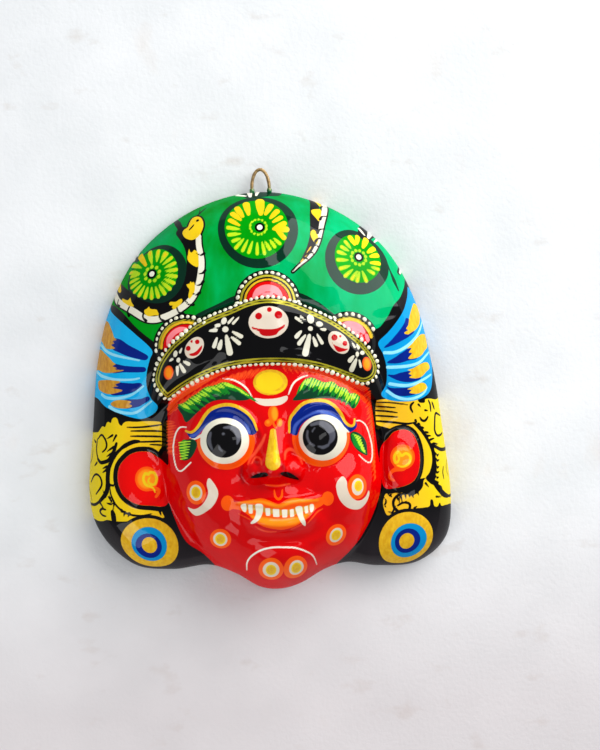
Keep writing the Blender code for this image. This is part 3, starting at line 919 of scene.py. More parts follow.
LEFT_HAIR = CloudHair(
    lock=path(-71.3, -19.2, -74, -17.9, -80, -17.5, -88, -17.7, -94, -17.3, -96.6, -18.6, -97.8, -20.2, -99.6, -18.4,
        -100.4, -15.6, -102.2, -14.4, -104.4, -15.4, -105.4, -18.2, -107, -17.2, -108.8, -17.8, -110.4, -20.8,
        -112.7, -20, -115.4, -22, -118, -24, -125, -24.6, -137, -27, -141, -55, -140, -87, -126, -85.8, -120, -85,
        -115, -83.8, -111, -82.3, -104, -82.6, -95, -82.2, -84, -80.5, -76, -80.6, -71.5, -80.4, -73.2, -75.4,
        -74, -60, -74, -40, -73.4, -36.8, -71.6, -34, -71.2, -26),
    strokes=((0.5, -94, -21.1, -84, -21.3, -70, -20), (0.5, -91.4, -23.6, -80, -23.9, -70, -24.4),
             (0.52, -91.8, -26.9, -82, -27.3, -70, -28), (0.5, -88.4, -30.8, -80, -30.9, -70, -30.9),
             (0.45, -79.4, -32.8, -70, -33.5),
             (0.6, -117.6, -28.4, -113.8, -25.8, -110.7, -28.3, -109.1, -31.7, -109.9, -35, -112.9, -37.3),
             (0.62, -118.6, -28.6, -119.5, -35, -118.2, -40, -116, -43.3),
             (1.05, -117.4, -42, -114.4, -44.1, -110.6, -43.6, -107.4, -42.2, -104.6, -38.6, -102.6, -34, -101.6,
              -31.4), (1.15, -86.6, -30.5, -90.4, -30.8, -94.9, -32.6, -98.8, -35),
             (0.9, -97, -33.8, -101.6, -37.8, -105.4, -43.4),
             (1.3, -104.4, -41.6, -107.6, -47.4, -108.6, -53.3, -108.8, -58.3, -109.9, -63.3, -112.7, -66.8, -116.6,
              -70.4), (0.8, -114.4, -68.6, -119.9, -72.5, -125, -74.4, -134, -76.4),
             (0.55, -107.3, -57.6, -106.8, -64.4, -103.5, -71.4, -98.2, -76, -92.7, -78.2, -86, -78.8, -79.6, -77.8),
             (1.5, -106.2, -76.2, -105.7, -79, -105.5, -84), (0.4, -104.9, -71, -105.6, -76),
             (0.6, -127.6, -59.6, -122.9, -54.4, -119.3, -52.4, -116, -53.1, -113.8, -56.2, -114.3, -60, -119.9,
              -66), (0.66, -111.4, -75.2, -114.6, -75, -116.9, -77.2, -115, -79.4, -111.8, -79.8),
             (0.45, -130, -32, -126, -36, -127, -43, -132, -47), (0.5, -134, -64, -129, -68, -127, -73)),
    combs=((-104.3, -26, -108.8, -28.4), (-101.6, -26.1, -104.5, -30.8), (-103.6, -33.6, -108.9, -36.8),
           (-105.2, -37.8, -109.4, -40.2), (-109, -46.4, -112.9, -48.2), (-109.6, -48.8, -112.9, -50.8),
           (-104.9, -59, -107.6, -58.2), (-108.2, -66.4, -105.6, -71.2), (-107, -71.2, -110.6, -70.6),
           (-99.5, -74.8, -99.9, -77), (-97.4, -76, -98.3, -79.2), (-94.4, -76.8, -95.4, -79.6),
           (-74.6, -76, -73, -80), (-111, -66.5, -113, -62), (-118.5, -44.6, -122, -47.5), (-121, -31, -125, -29),
           (-116, -71, -113, -74.5)))

RIGHT_HAIR = CloudHair(
    lock=path(69.2, -10.6, 71, -8.9, 80, -8.6, 90, -9.2, 97.5, -9.4, 99.6, -11.8, 103.8, -12, 104.6, -9.8, 109, -9.4,
        116, -10, 138, -11, 144, -50, 142, -86, 124, -83, 118, -81.9, 113.6, -81.4, 112.1, -79, 109.9, -81.4,
        107.2, -80.4, 106.4, -76.6, 104.4, -76.2, 103.8, -80.2, 99.5, -80.9, 92.1, -81.2, 88, -84, 76, -85.4,
        72.6, -80, 72.4, -75, 74, -70.8, 77.2, -68.8, 80, -66, 74, -60, 74, -36, 76, -28, 71, -25.8, 69, -24),
    strokes=((0.4, 68, -10.3, 80, -11.2, 91.4, -13), (0.45, 68, -13, 76, -13.8, 82.7, -14.6),
             (0.5, 68, -15.8, 76, -16.6, 83.8, -17.9), (0.5, 68, -19.1, 76, -19.9, 84.1, -20.8),
             (0.6, 68, -22.6, 79.9, -24, 89.9, -25.4, 95.6, -24.8),
             (0.64, 95.4, -11.5, 93.5, -13.2, 93.2, -15.4, 94.4, -18), (0.64, 107.4, -10.4, 108.8, -13.4, 109, -18),
             (0.7, 111.2, -11.8, 113.2, -16.4),
             (0.68, 99.6, -21.6, 100.7, -23.4, 102.7, -24.1, 104.3, -23.3, 106, -21.4),
             (0.7, 124, -21.6, 118.2, -20.1, 114.9, -19.4, 113.2, -21.8, 112.1, -27.3, 111.8, -31.2, 113.8, -34.3,
              117.7, -34.8, 124, -33.6), (1, 107.2, -40, 112.1, -42.3, 116, -44, 121, -44.9, 129, -45.4, 140, -45),
             (0.95, 107.6, -40.4, 108.9, -44, 109.4, -48.4, 109.6, -54, 108.6, -60, 107.4, -66),
             (1.5, 107, -63.6, 110.4, -68, 113.2, -71.2, 117.1, -74.6, 121.6, -76.8),
             (0.8, 119, -75.6, 127, -78.4, 140, -81),
             (0.74, 87.5, -70.6, 82.5, -71.6, 79.3, -75, 79, -78.5, 80.5, -81, 83.5, -83.2, 88, -83, 90, -79.5, 88.8,
              -77.2, 85, -77, 81.8, -78.6), (0.6, 76, -71, 78, -72.6),
             (0.5, 73, -73, 74.4, -75.6, 73.2, -78, 74.2, -79.8), (0.5, 75.4, -82.2, 78.2, -83.2, 79.3, -80),
             (0.45, 118.4, -55.6, 117, -60, 118, -64.6), (0.45, 127, -52, 123, -58, 126, -65)),
    combs=((98.8, -13, 100.6, -15), (103.8, -17, 106.2, -17.4), (96.1, -23.2, 97.3, -25), (98.3, -25.6, 99.8, -27),
           (100.4, -28.2, 102.6, -28.8), (103.4, -31.6, 106.4, -32), (104.6, -34, 107.8, -34.2),
           (106.6, -36.8, 110.8, -36), (109, -39.4, 114.2, -40.2), (109.8, -45.6, 112.6, -47.8),
           (112.4, -47.8, 114, -46.8), (109.9, -49.2, 112.4, -51.2), (112.2, -51.2, 114, -50.6),
           (109.9, -53, 111.8, -55.8), (111.6, -55.8, 113.4, -55.2), (109.4, -57.2, 111.4, -59),
           (111.2, -59, 113, -58.6), (108.8, -60.6, 111, -62.4), (110.8, -62.4, 112.6, -62),
           (109, -64.6, 112.6, -65.6), (112.6, -68, 115.4, -69.6), (82, -73.6, 83, -76.6), (84, -72.4, 84.8, -75.8),
           (86.8, -70.4, 87.6, -74.8), (89.6, -71, 90.2, -74), (91.6, -71.6, 92.6, -74), (95.2, -69.8, 96.2, -72.6),
           (101.4, -65, 103.9, -68), (109.2, -74.6, 114, -75.6), (92.6, -81, 95, -79.4)),
    gaps=(
        path(94, -25, 96.3, -25.2, 99.9, -27.9, 102.7, -31.2, 105.4, -35.7, 107.6, -40, 109, -46, 108.8, -56,
            108, -63, 107, -66.4, 104, -64.6, 101.8, -61.6, 105, -57.8, 107.1, -51.8, 107.3, -47, 106.6, -43.4,
            104.2, -38.2, 100.4, -32.2, 97, -28.4),
        path(68, -26, 72, -26.4, 77, -27.6, 80, -30, 76, -34, 73, -40, 68, -40),
        path(80, -67, 88, -66, 95, -62.5, 101.4, -61.6, 100, -63.4, 99.4, -67, 97, -69.8, 93, -72.2, 90, -71.4,
            87, -71.6, 84.6, -69.2, 82, -69)))


@dataclass(frozen=True)
class Ear:
    """A red ear in a yellow crescent, with an orange blot and a yellow spiral."""

    lobe: Outline
    blot: Ellipse
    tail: Outline
    spiral: Row

    def paint(self, canvas: Canvas) -> None:
        """Lays the ear."""
        lobe = Patch(self.lobe)
        canvas.lay(Coat.INK, Hoop(lobe, 1.6, -1.5))
        canvas.scrape(Coat.INK, lobe)
        canvas.lay(Coat.RED, lobe)
        canvas.lay(Coat.ORANGE, self.blot, Stroke(self.tail, (1.6, 1.2, 0.9)))
        canvas.lay(Coat.TANGERINE, oval(*self.blot.centre, self.blot.radii[0] - 1.8, self.blot.radii[1] - 1.8))
        canvas.lay(Coat.AMBER, line(0.9, *self.spiral))


LEFT_EAR = Ear(
    lobe=path(-85.7, -37, -79.5, -37.6, -75.4, -40.3, -70.4, -44, -66.4, -50, -67.4, -66, -70.6, -73, -80, -72.4,
        -90, -70.7, -97.9, -65, -101.4, -55.7, -100, -46.4, -94.3, -40, -90, -37.8), blot=oval(-82, -54.8, 7.6, 8),
    tail=path(-80, -61, -75.4, -61.6, -74.4, -63.6, -76.4, -66.6),
    spiral=(-76.6, -63.8, -78.4, -60.6, -82.6, -58.6, -84.2, -54.6, -82.8, -51.2, -80.8, -52, -79.6, -50.6, -77,
            -51.2, -75.6, -54.6, -76.8, -58.4, -79.4, -58.2, -81, -56.2, -80, -54))

RIGHT_EAR = Ear(
    lobe=path(72, -39.4, 77, -34.3, 81.4, -30.2, 88.6, -29.2, 94.3, -32.9, 97.5, -41.4, 97.9, -50.7, 95.7, -59.3,
        90.7, -64.3, 81.4, -67, 74, -67, 71.4, -60, 70.6, -46), blot=oval(86, -46.9, 8.3, 8.2),
    tail=path(86, -54.4, 79.9, -55.2, 77.4, -57.6, 77.4, -60.4, 79.6, -62),
    spiral=(82.8, -45.4, 83.4, -48.6, 81, -50.6, 80.4, -46.2, 83, -43.4, 85.2, -46, 88.2, -44.6, 91, -46.8, 90.2,
            -50.8, 86, -53.2, 82, -52.2))


@dataclass(frozen=True)
class EarDisc:
    """The round gold and blue ornament under an ear."""

    gold: Ellipse
    blue: Ellipse
    navy: Ellipse
    heart: Ellipse

    def paint(self, canvas: Canvas) -> None:
        """Lays the ornament."""
        canvas.lay(Coat.GOLD, self.gold)
        canvas.scrape(Coat.GOLD, self.blue)
        canvas.lay_all(((Coat.SKY, self.blue), (Coat.NAVY, self.navy), (Coat.GOLD, self.heart)))
        canvas.scrape(Coat.HAIR, self.gold, Hoop(self.gold, 1.1, -1.1))
        canvas.scrape(Coat.INK, self.gold)


EAR_DISCS = (
    EarDisc(oval(-83, -99.5, 19.8, 19), oval(-82.7, -98.7, 12, 12.5), disc(-83, -99.5, 8.9),
        oval(-82.3, -98.7, 5.2, 5.7)),
    EarDisc(oval(88, -103, 19, 20), disc(89.5, -103.2, 12.6), disc(88.4, -102.8, 8.8), oval(87.7, -102.7, 5.2, 5.6)))


# Motifs of the face


@dataclass(frozen=True)
class Eye:
    """A staring white eye in blue lids, with a yellow lash line, an orange crescent under it and grey arcs of painted
    reflection on the iris.
    """

    ball: Ellipse
    iris: Ellipse
    pouch: Ellipse
    pouch_top: float
    lash: Outline
    lid: Outline
    mist: tuple[Stroke, ...]
    tail: Stroke
    ash: tuple[Stroke, ...]
    pupil: Ellipse
    span: float = 38.0

    def paint(self, canvas: Canvas) -> None:
        """Lays the eye."""
        x, y = self.pouch.centre
        left, right, bottom = x - self.span, x + self.span, y - self.span
        below = Patch(path(left, bottom, left, self.pouch_top, right, self.pouch_top, right, bottom), sharp=True)
        canvas.lay(Coat.ORANGE, self.pouch, within=below)
        canvas.lay_all((
            (Coat.NAVY, Patch(self.lash + self.lid)), (Coat.MIST, *self.mist), (Coat.WHITE, self.ball, self.tail),
            (Coat.GOLD, Stroke(self.lash, (0.7, 1.1, 1.1, 1.1, 0.7))), (Coat.INK, self.iris), (Coat.ASH, *self.ash),
        ))
        # The painted reflection is kept off the pupil.
        canvas.scrape(Coat.ASH, self.pupil)


EYES = (
    Eye(ball=oval(-30.6, -30.8, 15.5, 14.5), iris=oval(-31.1, -30.5, 11.1, 10.8),
        pouch=oval(-29.8, -30.5, 18.5, 18.6), pouch_top=-27,
        lash=path(-55.2, -24, -53, -25, -50.4, -24.5, -46.7, -20.8, -42.5, -14.5, -37.8, -10.3, -29.9, -8.2,
            -23, -9.2, -16.2, -13.4, -12, -18.7, -9.9, -25),
        lid=path(-12, -27.6, -15.7, -27, -19.4, -21.8, -24.6, -17.6, -29.9, -16.5, -35.2, -17.6, -40.4, -20.2,
            -46.7, -25, -49.4, -29.2, -53, -27.8),
        mist=(Stroke(path(-52, -27.4, -48.4, -26.4, -45, -23, -41, -19.8, -37, -17.9), (0.9, 1.1, 0.9, 0.6, 0.3)),
              Stroke(path(-17.6, -19.4, -15.8, -22.4, -14.8, -26.2), (0.4, 1, 1.1))),
        tail=Stroke(path(-52.8, -28.3, -50, -29.4, -45.4, -27), (0.35, 0.6, 0.9)),
        # Grey arcs on the iris: painted reflection.
        ash=(
            Stroke(path(-30.8, -22.4, -26.4, -22.3, -23.2, -24.4, -21.7, -28.4, -22.8, -32.8),
                (0.6, 1.2, 1.9, 1.7, 0.5)), Stroke(path(-39.4, -25.4, -40.6, -30.6, -38.8, -36), (0.8, 1.4, 0.7)),
            Stroke(path(-31.4, -26.2, -30, -27.2), (0.9, 0.4)),
            Stroke(path(-34.4, -33.6, -33.8, -35.6, -32.4, -37.2), (0.5, 0.8, 0.5))),
        pupil=oval(-29.4, -31.4, 4.4, 4.8)),
    Eye(ball=oval(31.9, -31, 15.6, 14.5), iris=oval(30, -30.7, 11.2, 11.1), pouch=oval(30.9, -31, 18.6, 18.5),
        pouch_top=-27,
        lash=path(10.6, -27, 11.2, -19.2, 14.8, -13.9, 20.1, -9.2, 27.5, -7.4, 34.8, -8.2, 40.1, -11.3, 44.3, -16.6,
            46.9, -21.8, 50.1, -24.5, 52.7, -23.9, 53.4, -20.4),
        lid=path(54.8, -25, 50.6, -28.4, 46.9, -27.6, 42.7, -23.9, 38, -19.7, 32.2, -17.3, 27.5, -17.6, 21.7, -19.7,
            17.5, -23.9, 15.4, -29, 12.5, -28),
        mist=(
            Stroke(
                path(13.3, -27.8, 14.8, -22.8, 19, -19, 24.4, -16.2, 30, -14.6, 36, -15.8, 40.6, -18.4, 44.4, -22),
                (1.1, 1.1, 0.6, 0.6, 1, 1.1, 0.9, 0.5)),),
        tail=Stroke(path(43.4, -24, 46.6, -26.6, 49.4, -28.6), (0.9, 1, 0.4)),
        # Grey arcs on the iris: painted reflection.
        ash=(
            Stroke(path(24.4, -22.6, 29.6, -21.6, 34, -23.8, 37.2, -27.6, 37.4, -31.6, 35.2, -35),
                (0.9, 1.2, 2.2, 2.3, 1.9, 0.6)),
            Stroke(path(22, -26.4, 21.6, -30, 23, -33.8, 25.6, -35.6), (0.6, 0.7, 0.8, 0.7)),
            Stroke(path(28.2, -36.2, 31.4, -37, 34.6, -35.8), (0.5, 1.1, 0.9)),
            Stroke(path(25.2, -26.6, 26.6, -24.8), (0.7, 0.5))), pupil=oval(29.6, -29.4, 4.8, 5.4)))


@dataclass(frozen=True)
class Brow:
    """A dark green brow with lighter brush hairs over its upper part and a white arc over its inner end."""

    body: Outline
    crest: Outline
    lean: float
    arc: Row
    sprigs: int = 47
    reach: float = 8.2

    def paint(self, canvas: Canvas) -> None:
        """Lays the brow."""
        canvas.lay(Coat.MOSS, Patch(self.body))
        crest = smooth_line(self.crest, closed=False, steps=12)
        spots = np.linspace(0.6, run_along(crest)[-1] - 1, self.sprigs)
        for k, root in enumerate(places_along(crest, spots)):
            turn = math.radians(self.lean + 5 * math.sin(1.7 * k))
            if k % 2:
                coat, long, half_width = Coat.SPRIG, 5.8 + 1.2 * math.sin(2.3 * k), 0.62
            else:
                coat, long, half_width = Coat.SPROUT, self.reach + 0.8 * math.sin(1.3 * k), 0.95
            hair = Stroke((root, around(root, long, turn)), (half_width * 0.6, half_width, half_width * 0.3))
            canvas.lay(coat, hair)
        canvas.lay(Coat.CHALK, line(0.62, *self.arc))


BROWS = (
    Brow(
        body=path(-60.2, -8.6, -56.2, -8.2, -52, -4.5, -46.7, -1.4, -44.1, 1.4, -38.3, 3.2, -33.6, 3.4, -29.9, 5,
            -24.6, 3, -21.5, 0.6, -16.7, -2.2, -13.7, -5, -20, -5.9, -29.9, -4.9, -37.4, -5.8, -43, -8.9,
            -48.3, -13.4, -54.6, -18.6, -57.2, -14),
        crest=path(-60, -7.6, -56, -6.4, -51, -2.8, -46, 0, -42, 3, -36, 4, -29.9, 6, -24, 3.6, -20, 0.6, -17, -2),
        lean=-34, arc=(-30.4, 8.4, -24.6, 7.6, -19.4, 5, -15.2, 1.3, -12.3, -3.7), reach=10.5),
    Brow(
        body=path(13.8, -7, 15.9, -3.4, 19, 2.4, 21.7, 5.6, 26.4, 6.4, 30.6, 5, 33.8, 3.2, 39, 3.6, 42.7, 1.4,
            45.4, -0.8, 49, -1.4, 51.2, -4.4, 55.9, -4.8, 58, -7.4, 53.3, -13.8, 49, -10.6, 42.7, -7.6, 34.8, -6.4,
            24.3, -6.4),
        crest=path(20, 3.6, 22.6, 6, 26.4, 6.8, 31, 5, 35, 3.6, 40, 3.8, 44, 0.6, 48.6, -0.8, 51, -4, 55, -4.2,
            58.4, -7), lean=-120, arc=(23.8, 8.6, 19, 7.1, 14.3, 3.7, 10.9, -3.2)))


@dataclass(frozen=True)
class Mouth:
    """Orange lips over a row of white teeth with two fangs."""

    lips: Patch = Patch(
        path(-28.5, -71, -26.2, -69.8, -20.4, -69.3, -15.2, -68.7, -8.8, -67.7, -3.6, -69.3, 1.9, -71.5, 6.8, -69.3,
            12.1, -68.2, 17.4, -69.3, 23.7, -69.8, 29.5, -68.7, 31.8, -71.4, 30, -74, 25.3, -76.4, 21, -80.8,
            15.3, -84.5, 10.5, -86.8, 5.3, -88, 1.7, -88, -6.2, -86.2, -10.9, -83.8, -14.1, -80.4, -19.4, -76.6,
            -23, -74.8, -28.4, -73.6))
    parting: Patch = Patch(
        path(-21.8, -71, -17.5, -70.8, -10, -72.2, -4, -74, 2, -75, 8, -75.4, 14, -74.4, 20, -73.4, 24.4, -73,
            23.6, -75.6, 18, -77.4, 12, -79, 4, -79.2, -4, -77.6, -12, -75.4, -19, -74.6))
    teeth: Outlines = (path(-21.8, -71.6, -18.6, -71, -18.4, -75.4, -19.6, -76.2, -21.3, -74.6),
        path(-17.4, -71.3, -14.4, -71.5, -14.4, -77.3, -16.8, -77.1),
        path(-6.6, -73.8, -3.3, -74.1, -3.4, -79, -6.2, -78.8), path(-1.9, -74.5, 2.4, -75, 2.4, -80, -1.6, -79.6),
        path(3.8, -75.2, 7.6, -75.4, 7.3, -80.4, 4.2, -80.3), path(8.9, -75.4, 11.6, -75.2, 11.8, -80.1, 9.1, -80.2),
        path(18.2, -74, 20.8, -73.6, 20.9, -78.2, 18.8, -78.5),
        path(21.9, -73.2, 24.3, -73, 24.5, -75.8, 23.2, -77.8, 22.1, -77.4))
    fangs: Outlines = (
        path(-12.6, -71.4, -8.2, -71.6, -8, -76, -9.6, -79.8, -12.4, -82.6, -15.4, -83.8, -16, -82.6, -13.8, -80.4,
            -12.4, -76.6),
        path(12.6, -74.3, 16.9, -74.1, 17.5, -79.8, 18.9, -84, 18.6, -86.8, 15.9, -83.9, 14, -79.6))

    marks: Marks = ((Coat.ORANGE, oval(-30.2, -70.3, 4.1, 5), oval(33.7, -69.8, 3.8, 4.6)),
        (Coat.TANGERINE, line(2.3, -15, -79, -8, -81.8, 2, -83.7, 13, -82.4, 20, -79, taper=0.3),
         line(1, -23, -70.4, -9, -69.6, 2, -73.2, 12, -70.2, 27, -70.6)),
        (Coat.SALMON, line(0.5, -13.2, -85.4, -9.2, -88, -4.5, -89.3, 0, -89.4),
         line(0.45, 9.5, -88.2, 13.8, -86.4, 17, -85)),
        (Coat.EMBER, line(0.5, 20, -84.8, 24, -80.6, 27, -77.8, 30.4, -76.2), line(0.4, -23.6, -77.2, -16, -81)))

    def paint(self, canvas: Canvas) -> None:
        """Lays the mouth."""
        canvas.lay_all(((Coat.ORANGE, self.lips), *self.marks, (Coat.OCHRE, self.parting)))
        for outline in self.teeth + self.fangs:
            tooth = Patch(outline, sharp=len(outline) == 4)
            canvas.lay(Coat.WHITE, tooth)
            canvas.scrape(Coat.OCHRE, tooth)


@dataclass(frozen=True)
class Roundel:
    """An orange, cream and gold spot, as on the cheeks and the chin."""

    orange: Ellipse
    cream: Ellipse
    gold: Ellipse

    def paint(self, canvas: Canvas) -> None:
        """Lays the spot."""
        canvas.lay_all((
            (Coat.ORANGE, self.orange), (Coat.CREAM, self.cream), (Coat.GOLD, self.gold),
            (Coat.AMBER, Hoop(self.gold, 0.5, 0.3)),
        ))


@dataclass(frozen=True)
class Face:
    """The red face and everything that is painted on it apart from its eyes, brows and mouth."""

    skin: Patch = Patch(
        path(-66.5, -8, -64, -3, -60, 2, -52, 7, -40, 13, -20, 18.5, 0, 19.5, 20, 18, 40, 12, 50, 8, 58, 3.5, 62, 0,
            65.5, -7, 67, -20, 69, -40, 71.4, -62, 66.5, -80, 57.5, -97, 50, -108, 45, -122, 44, -150, -46, -150,
            -43, -122, -47, -107, -58, -97, -64.6, -82, -69, -65, -67.4, -45, -67, -25))
    roundels: tuple[Roundel, ...] = (
        Roundel(oval(-49.9, -63.2, 6.2, 7.7), oval(-50, -63.2, 4.1, 5.2), oval(-50, -63, 2.8, 3.5)),
        Roundel(oval(53.2, -63.5, 6.6, 8), oval(53.5, -63.5, 4.1, 5.5), oval(54, -63, 2.6, 3.4)),
        Roundel(oval(-35.4, -94.3, 6.8, 7), oval(-35.6, -94.5, 4.6, 5), oval(-35.6, -94.5, 3.1, 3.5)),
        Roundel(oval(39.2, -94.5, 6.6, 7.6, -25), oval(39.2, -94.5, 4.2, 5.2, -25),
            oval(39.2, -94.5, 2.9, 3.5, -25)),
        Roundel(oval(-3.5, -115.9, 8, 9.2), oval(-3.5, -115.9, 5.4, 6.3), oval(-3.5, -115.9, 3.2, 4.1)),
        Roundel(oval(12.5, -115.5, 7.9, 9.4), oval(13, -115.3, 4.9, 6.1), oval(13, -115.3, 3.2, 4.2)))
    crescents: Outlines = (
        path(-41, -54, -35.9, -62.4, -38.3, -70.3, -44.6, -76, -49.9, -78.5, -53, -77, -56.2, -72.7, -52.5, -74,
            -49.4, -73.3, -44.9, -69.3, -42.2, -63.5, -43, -57.7),
        path(43.6, -56, 40, -59.3, 39.2, -63.5, 41, -70.3, 45.3, -75.6, 50.5, -78, 55.3, -78, 59.5, -74.5,
            61.8, -69.3, 61.4, -66, 59.5, -69.8, 56.3, -72.2, 52.6, -72.2, 48.6, -69, 46.5, -64, 46.2, -59.3),
        path(-11, -4.6, -5, -5.3, 0, -5.4, 5, -4.9, 10, -3.8, 10, -6.6, 6, -9.3, 0, -9.9, -6, -9.4, -10.2, -7))
    temple_loops: Rows = (
        (-54.6, -21.8, -58.8, -21.8, -61.5, -25, -63.3, -30.8, -63.8, -37.6, -63, -44.5, -61.5, -48.7, -59.1, -49.7,
         -55.7, -47, -52.5, -44),
        (54.6, -21.6, 57.5, -21.8, 61.2, -25, 63.8, -32.4, 65.1, -40.3, 64.6, -46.6, 62.7, -49, 59.1, -47, 55.4,
         -43.4))
    leaves: Outlines = (
        path(-59.6, -33.5, -58, -30.5, -54, -29.5, -51, -29.3, -48.6, -31, -48.5, -34, -50.5, -38.5, -53.5, -42,
            -57.8, -42.8, -59, -39),
        path(50.3, -29.3, 52.5, -28.3, 56, -29.5, 59, -32.2, 61, -36, 61.4, -41, 61.2, -44.2, 57, -42.2, 53.5, -39.3,
            51, -35.3, 49.9, -32))

    marks: Marks = (
        (Coat.CHALK,
         line(0.62, -19.2, -118.8, -18.8, -111.3, -15.8, -105.9, -10, -101.8, -3.3, -100, 5, -100, 12.5, -100.9,
             19.2, -103.8, 24.2, -108, 27.5, -116.3)),
        (Coat.GOLD, oval(-0.2, 5, 11, 8.1), Stroke(path(0.2, -26, -0.4, -35, -0.9, -45), (1.9, 3.2, 4.8))),
        (Coat.AMBER, oval(-0.8, 5.6, 8.6, 5.9), line(0.8, -9.6, 3, -5, -0.4, 2, -1.6, 7, -0.2, 9.6, 3.4),
         # The lighter amber stroke down the right of the nose's gold bar is a painted highlight on the ridge.
         Stroke(path(0.9, -31, 1, -38, 0.9, -44), (0.4, 1, 1.6))),
        (Coat.SPROUT, Stroke(path(-56.4, -31.4, -57.2, -35, -57, -41.4), (1.8, 2.6, 1.2)),
         Stroke(path(52, -30.6, 54.2, -35.6, 58.6, -41), (1.4, 2.4, 1.2))),
        # Soft dark red round the nose's bridge, wings and nostrils: painted shade in its creases, over the painter's
        # own darker red.
        (Coat.NOSE_SHADE, line(1.1, -9.4, -24, -8.4, -29), line(1.3, -12.6, -42, -10.6, -45.6),
         line(0.9, -20, -47, -21, -52, -19.8, -57.4), line(1.2, 4.2, -46, 6.4, -49.6),
         line(1.6, -15, -53.6, -10, -52.6, -4, -52.6), line(1.6, 3.4, -52.4, 9, -53, 16, -56.8)),
        (Coat.ORANGE, oval(0.6, -14.9, 3.1, 5), oval(-2.6, -20.5, 2.5, 2.2, 20), oval(4.6, -20.6, 1.9, 2.7, -12),
         line(0.7, 0.4, -19, 1, -22, 2.6, -24), line(0.75, -0.3, -63, 0.2, -67, 2.2, -68.7, 4.2, -67, 4.8, -63)),
        (Coat.TANGERINE, oval(1.7, -14.8, 1.9, 4.2), oval(4.9, -20.6, 1.1, 1.9), disc(-2.8, -20, 0.9)),
        (Coat.SALMON, line(0.95, -4.7, -27.6, -7.2, -33, -11.9, -39.6, -14.6, -42, -16.4, -46, taper=0.5),
         line(0.5, -14.2, -45.6, -11.4, -41.8, -8.4, -43, -8, -46.4),
         line(0.95, 6.9, -43.4, 7.6, -39.6, 10, -37.6, 13.4, -38.8, 16.6, -43, 18, -47, taper=0.5)),
        # The short orange line along the nose's lower edge is a painted highlight.
        (Coat.EMBER, line(0.7, -5.6, -59.6, 2, -60.4, 10, -59.6),
         Stroke(path(-66, -10, -60, -2.5, -50, 4, -38, 9.6, -26, 13.4), (1.2, 2.6, 2.8, 1.6, 0.3))),
        (Coat.INK, Patch(path(-15.4, -54.5, -9.9, -51.6, -5.2, -51.2, -4.4, -53.4, -8.8, -54.5)),
         Patch(path(3.2, -51.9, 6.8, -51.2, 11, -52.8, 16, -57, 12.4, -56.4, 6.8, -54.6))))
    leaf_hairs: int = 7
    edge_hairs: int = 46
    temple_hairs: int = 17
    cheek_hairs: int = 36

    def paint(self, canvas: Canvas) -> None:
        """Lays the face."""
        canvas.lay(Coat.RED, self.skin)
        canvas.scrape(Coat.INK, self.skin)
        for roundel in self.roundels:
            roundel.paint(canvas)
        canvas.lay(Coat.CREAM, *map(Patch, self.crescents))
        canvas.lay(Coat.CHALK, *(line(0.53, *loop, taper=0.85) for loop in self.temple_loops))
        canvas.lay(Coat.MOSS, *map(Patch, self.leaves))
        canvas.lay_all(self.marks)
        self.paint_leaf_hairs(canvas)
        self.paint_hatching(canvas)

    def paint_leaf_hairs(self, canvas: Canvas) -> None:
        """Lays the light brush hairs across the green leaves beside the eyes."""
        for k in range(self.leaf_hairs):
            y = -31.2 - 1.75 * k
            left = path(-60.2 + 0.12 * k, y - 0.4, -56, y + 0.2, -52.2 - 0.4 * k, y + 0.5)
            right = path(51.8 + 0.95 * k, y + 1.4, 57.2 + 0.55 * k, y - 1.1)
            canvas.lay(Coat.SPRIG, Stroke(left, (0.34, 0.5, 0.3)), Stroke(right, (0.3, 0.5, 0.3)))

    def paint_hatching(self, canvas: Canvas) -> None:
        """Lays the thin orange brush hairs along the top and the sides of the face."""
        for k in range(self.edge_hairs):
            x, long = -66 + 1.35 * k, 4.2 + 1.3 * math.sin(2.1 * k)
            y = 12.4 - 0.0056 * (x + 2) ** 2
            left = path(x - 1, y - 0.8 * long, x + long, y + 2)
            x = 8 + 1.2 * k
            y = 15.6 - 0.0066 * (x - 2) ** 2
            right = path(x + 1.6, y - 0.9 * long, x - 1.4, y + 2)
            canvas.lay(Coat.EMBER, *(Stroke(hair, (0.2, 0.42, 0.34)) for hair in (left, right)))
        for k in range(self.temple_hairs):
            x, y, drop = 44 + 1.25 * k, -18 - 1.3 * k, 0.62 * k
            left = path(-67.6 + 0.6 * math.sin(3.1 * k), y + 0.4, -61.9 - math.sin(1.9 * k), y - 0.3)
            right = path(x, 8.8 - drop, x - 3.4, 6.8 - drop)
            canvas.lay(Coat.EMBER, Stroke(left, (0.3, 0.38, 0.12)), Stroke(right, (0.42, 0.25)))
        for k in range(self.cheek_hairs):
            y = -3 - 1.6 * k
            hair = path(66.6 - 0.002 * (k - 30) ** 2, y, 61.6 + 0.1 * k - math.sin(2.7 * k), y - 2.4)
            canvas.lay(Coat.EMBER, Stroke(hair, (0.55, 0.2)))


# Shader building


@dataclass(frozen=True)
class Sock:
    """A shader socket that Python expressions work on, each operation adding its Math node."""

    graph: "Graph"
    socket: bpy.types.NodeSocket

    def math(self, operation: str, *values: Any, clamp: bool = False) -> "Sock":
        """One Math node on this socket and the other values."""
        settings = {"operation": operation, "use_clamp": clamp}
        return self.graph.node("ShaderNodeMath", settings, dict(enumerate(values)))

    def __add__(self, other: Any) -> "Sock":
        """Sum."""
        return self.math("ADD", self, other)

    def __sub__(self, other: Any) -> "Sock":
        """Difference."""
        return self.math("SUBTRACT", self, other)

    def __rsub__(self, other: Any) -> "Sock":
        """Difference from a number."""
        return self.math("SUBTRACT", other, self)

    def __mul__(self, other: Any) -> "Sock":
        """Product."""
        return self.math("MULTIPLY", self, other)

    def __truediv__(self, other: Any) -> "Sock":
        """Quotient."""
        return self.math("DIVIDE", self, other)

    __radd__ = __add__
    __rmul__ = __mul__

    def clamp(self) -> "Sock":
        """Held between 0 and 1."""
        return self.math("ADD", self, 0.0, clamp=True)


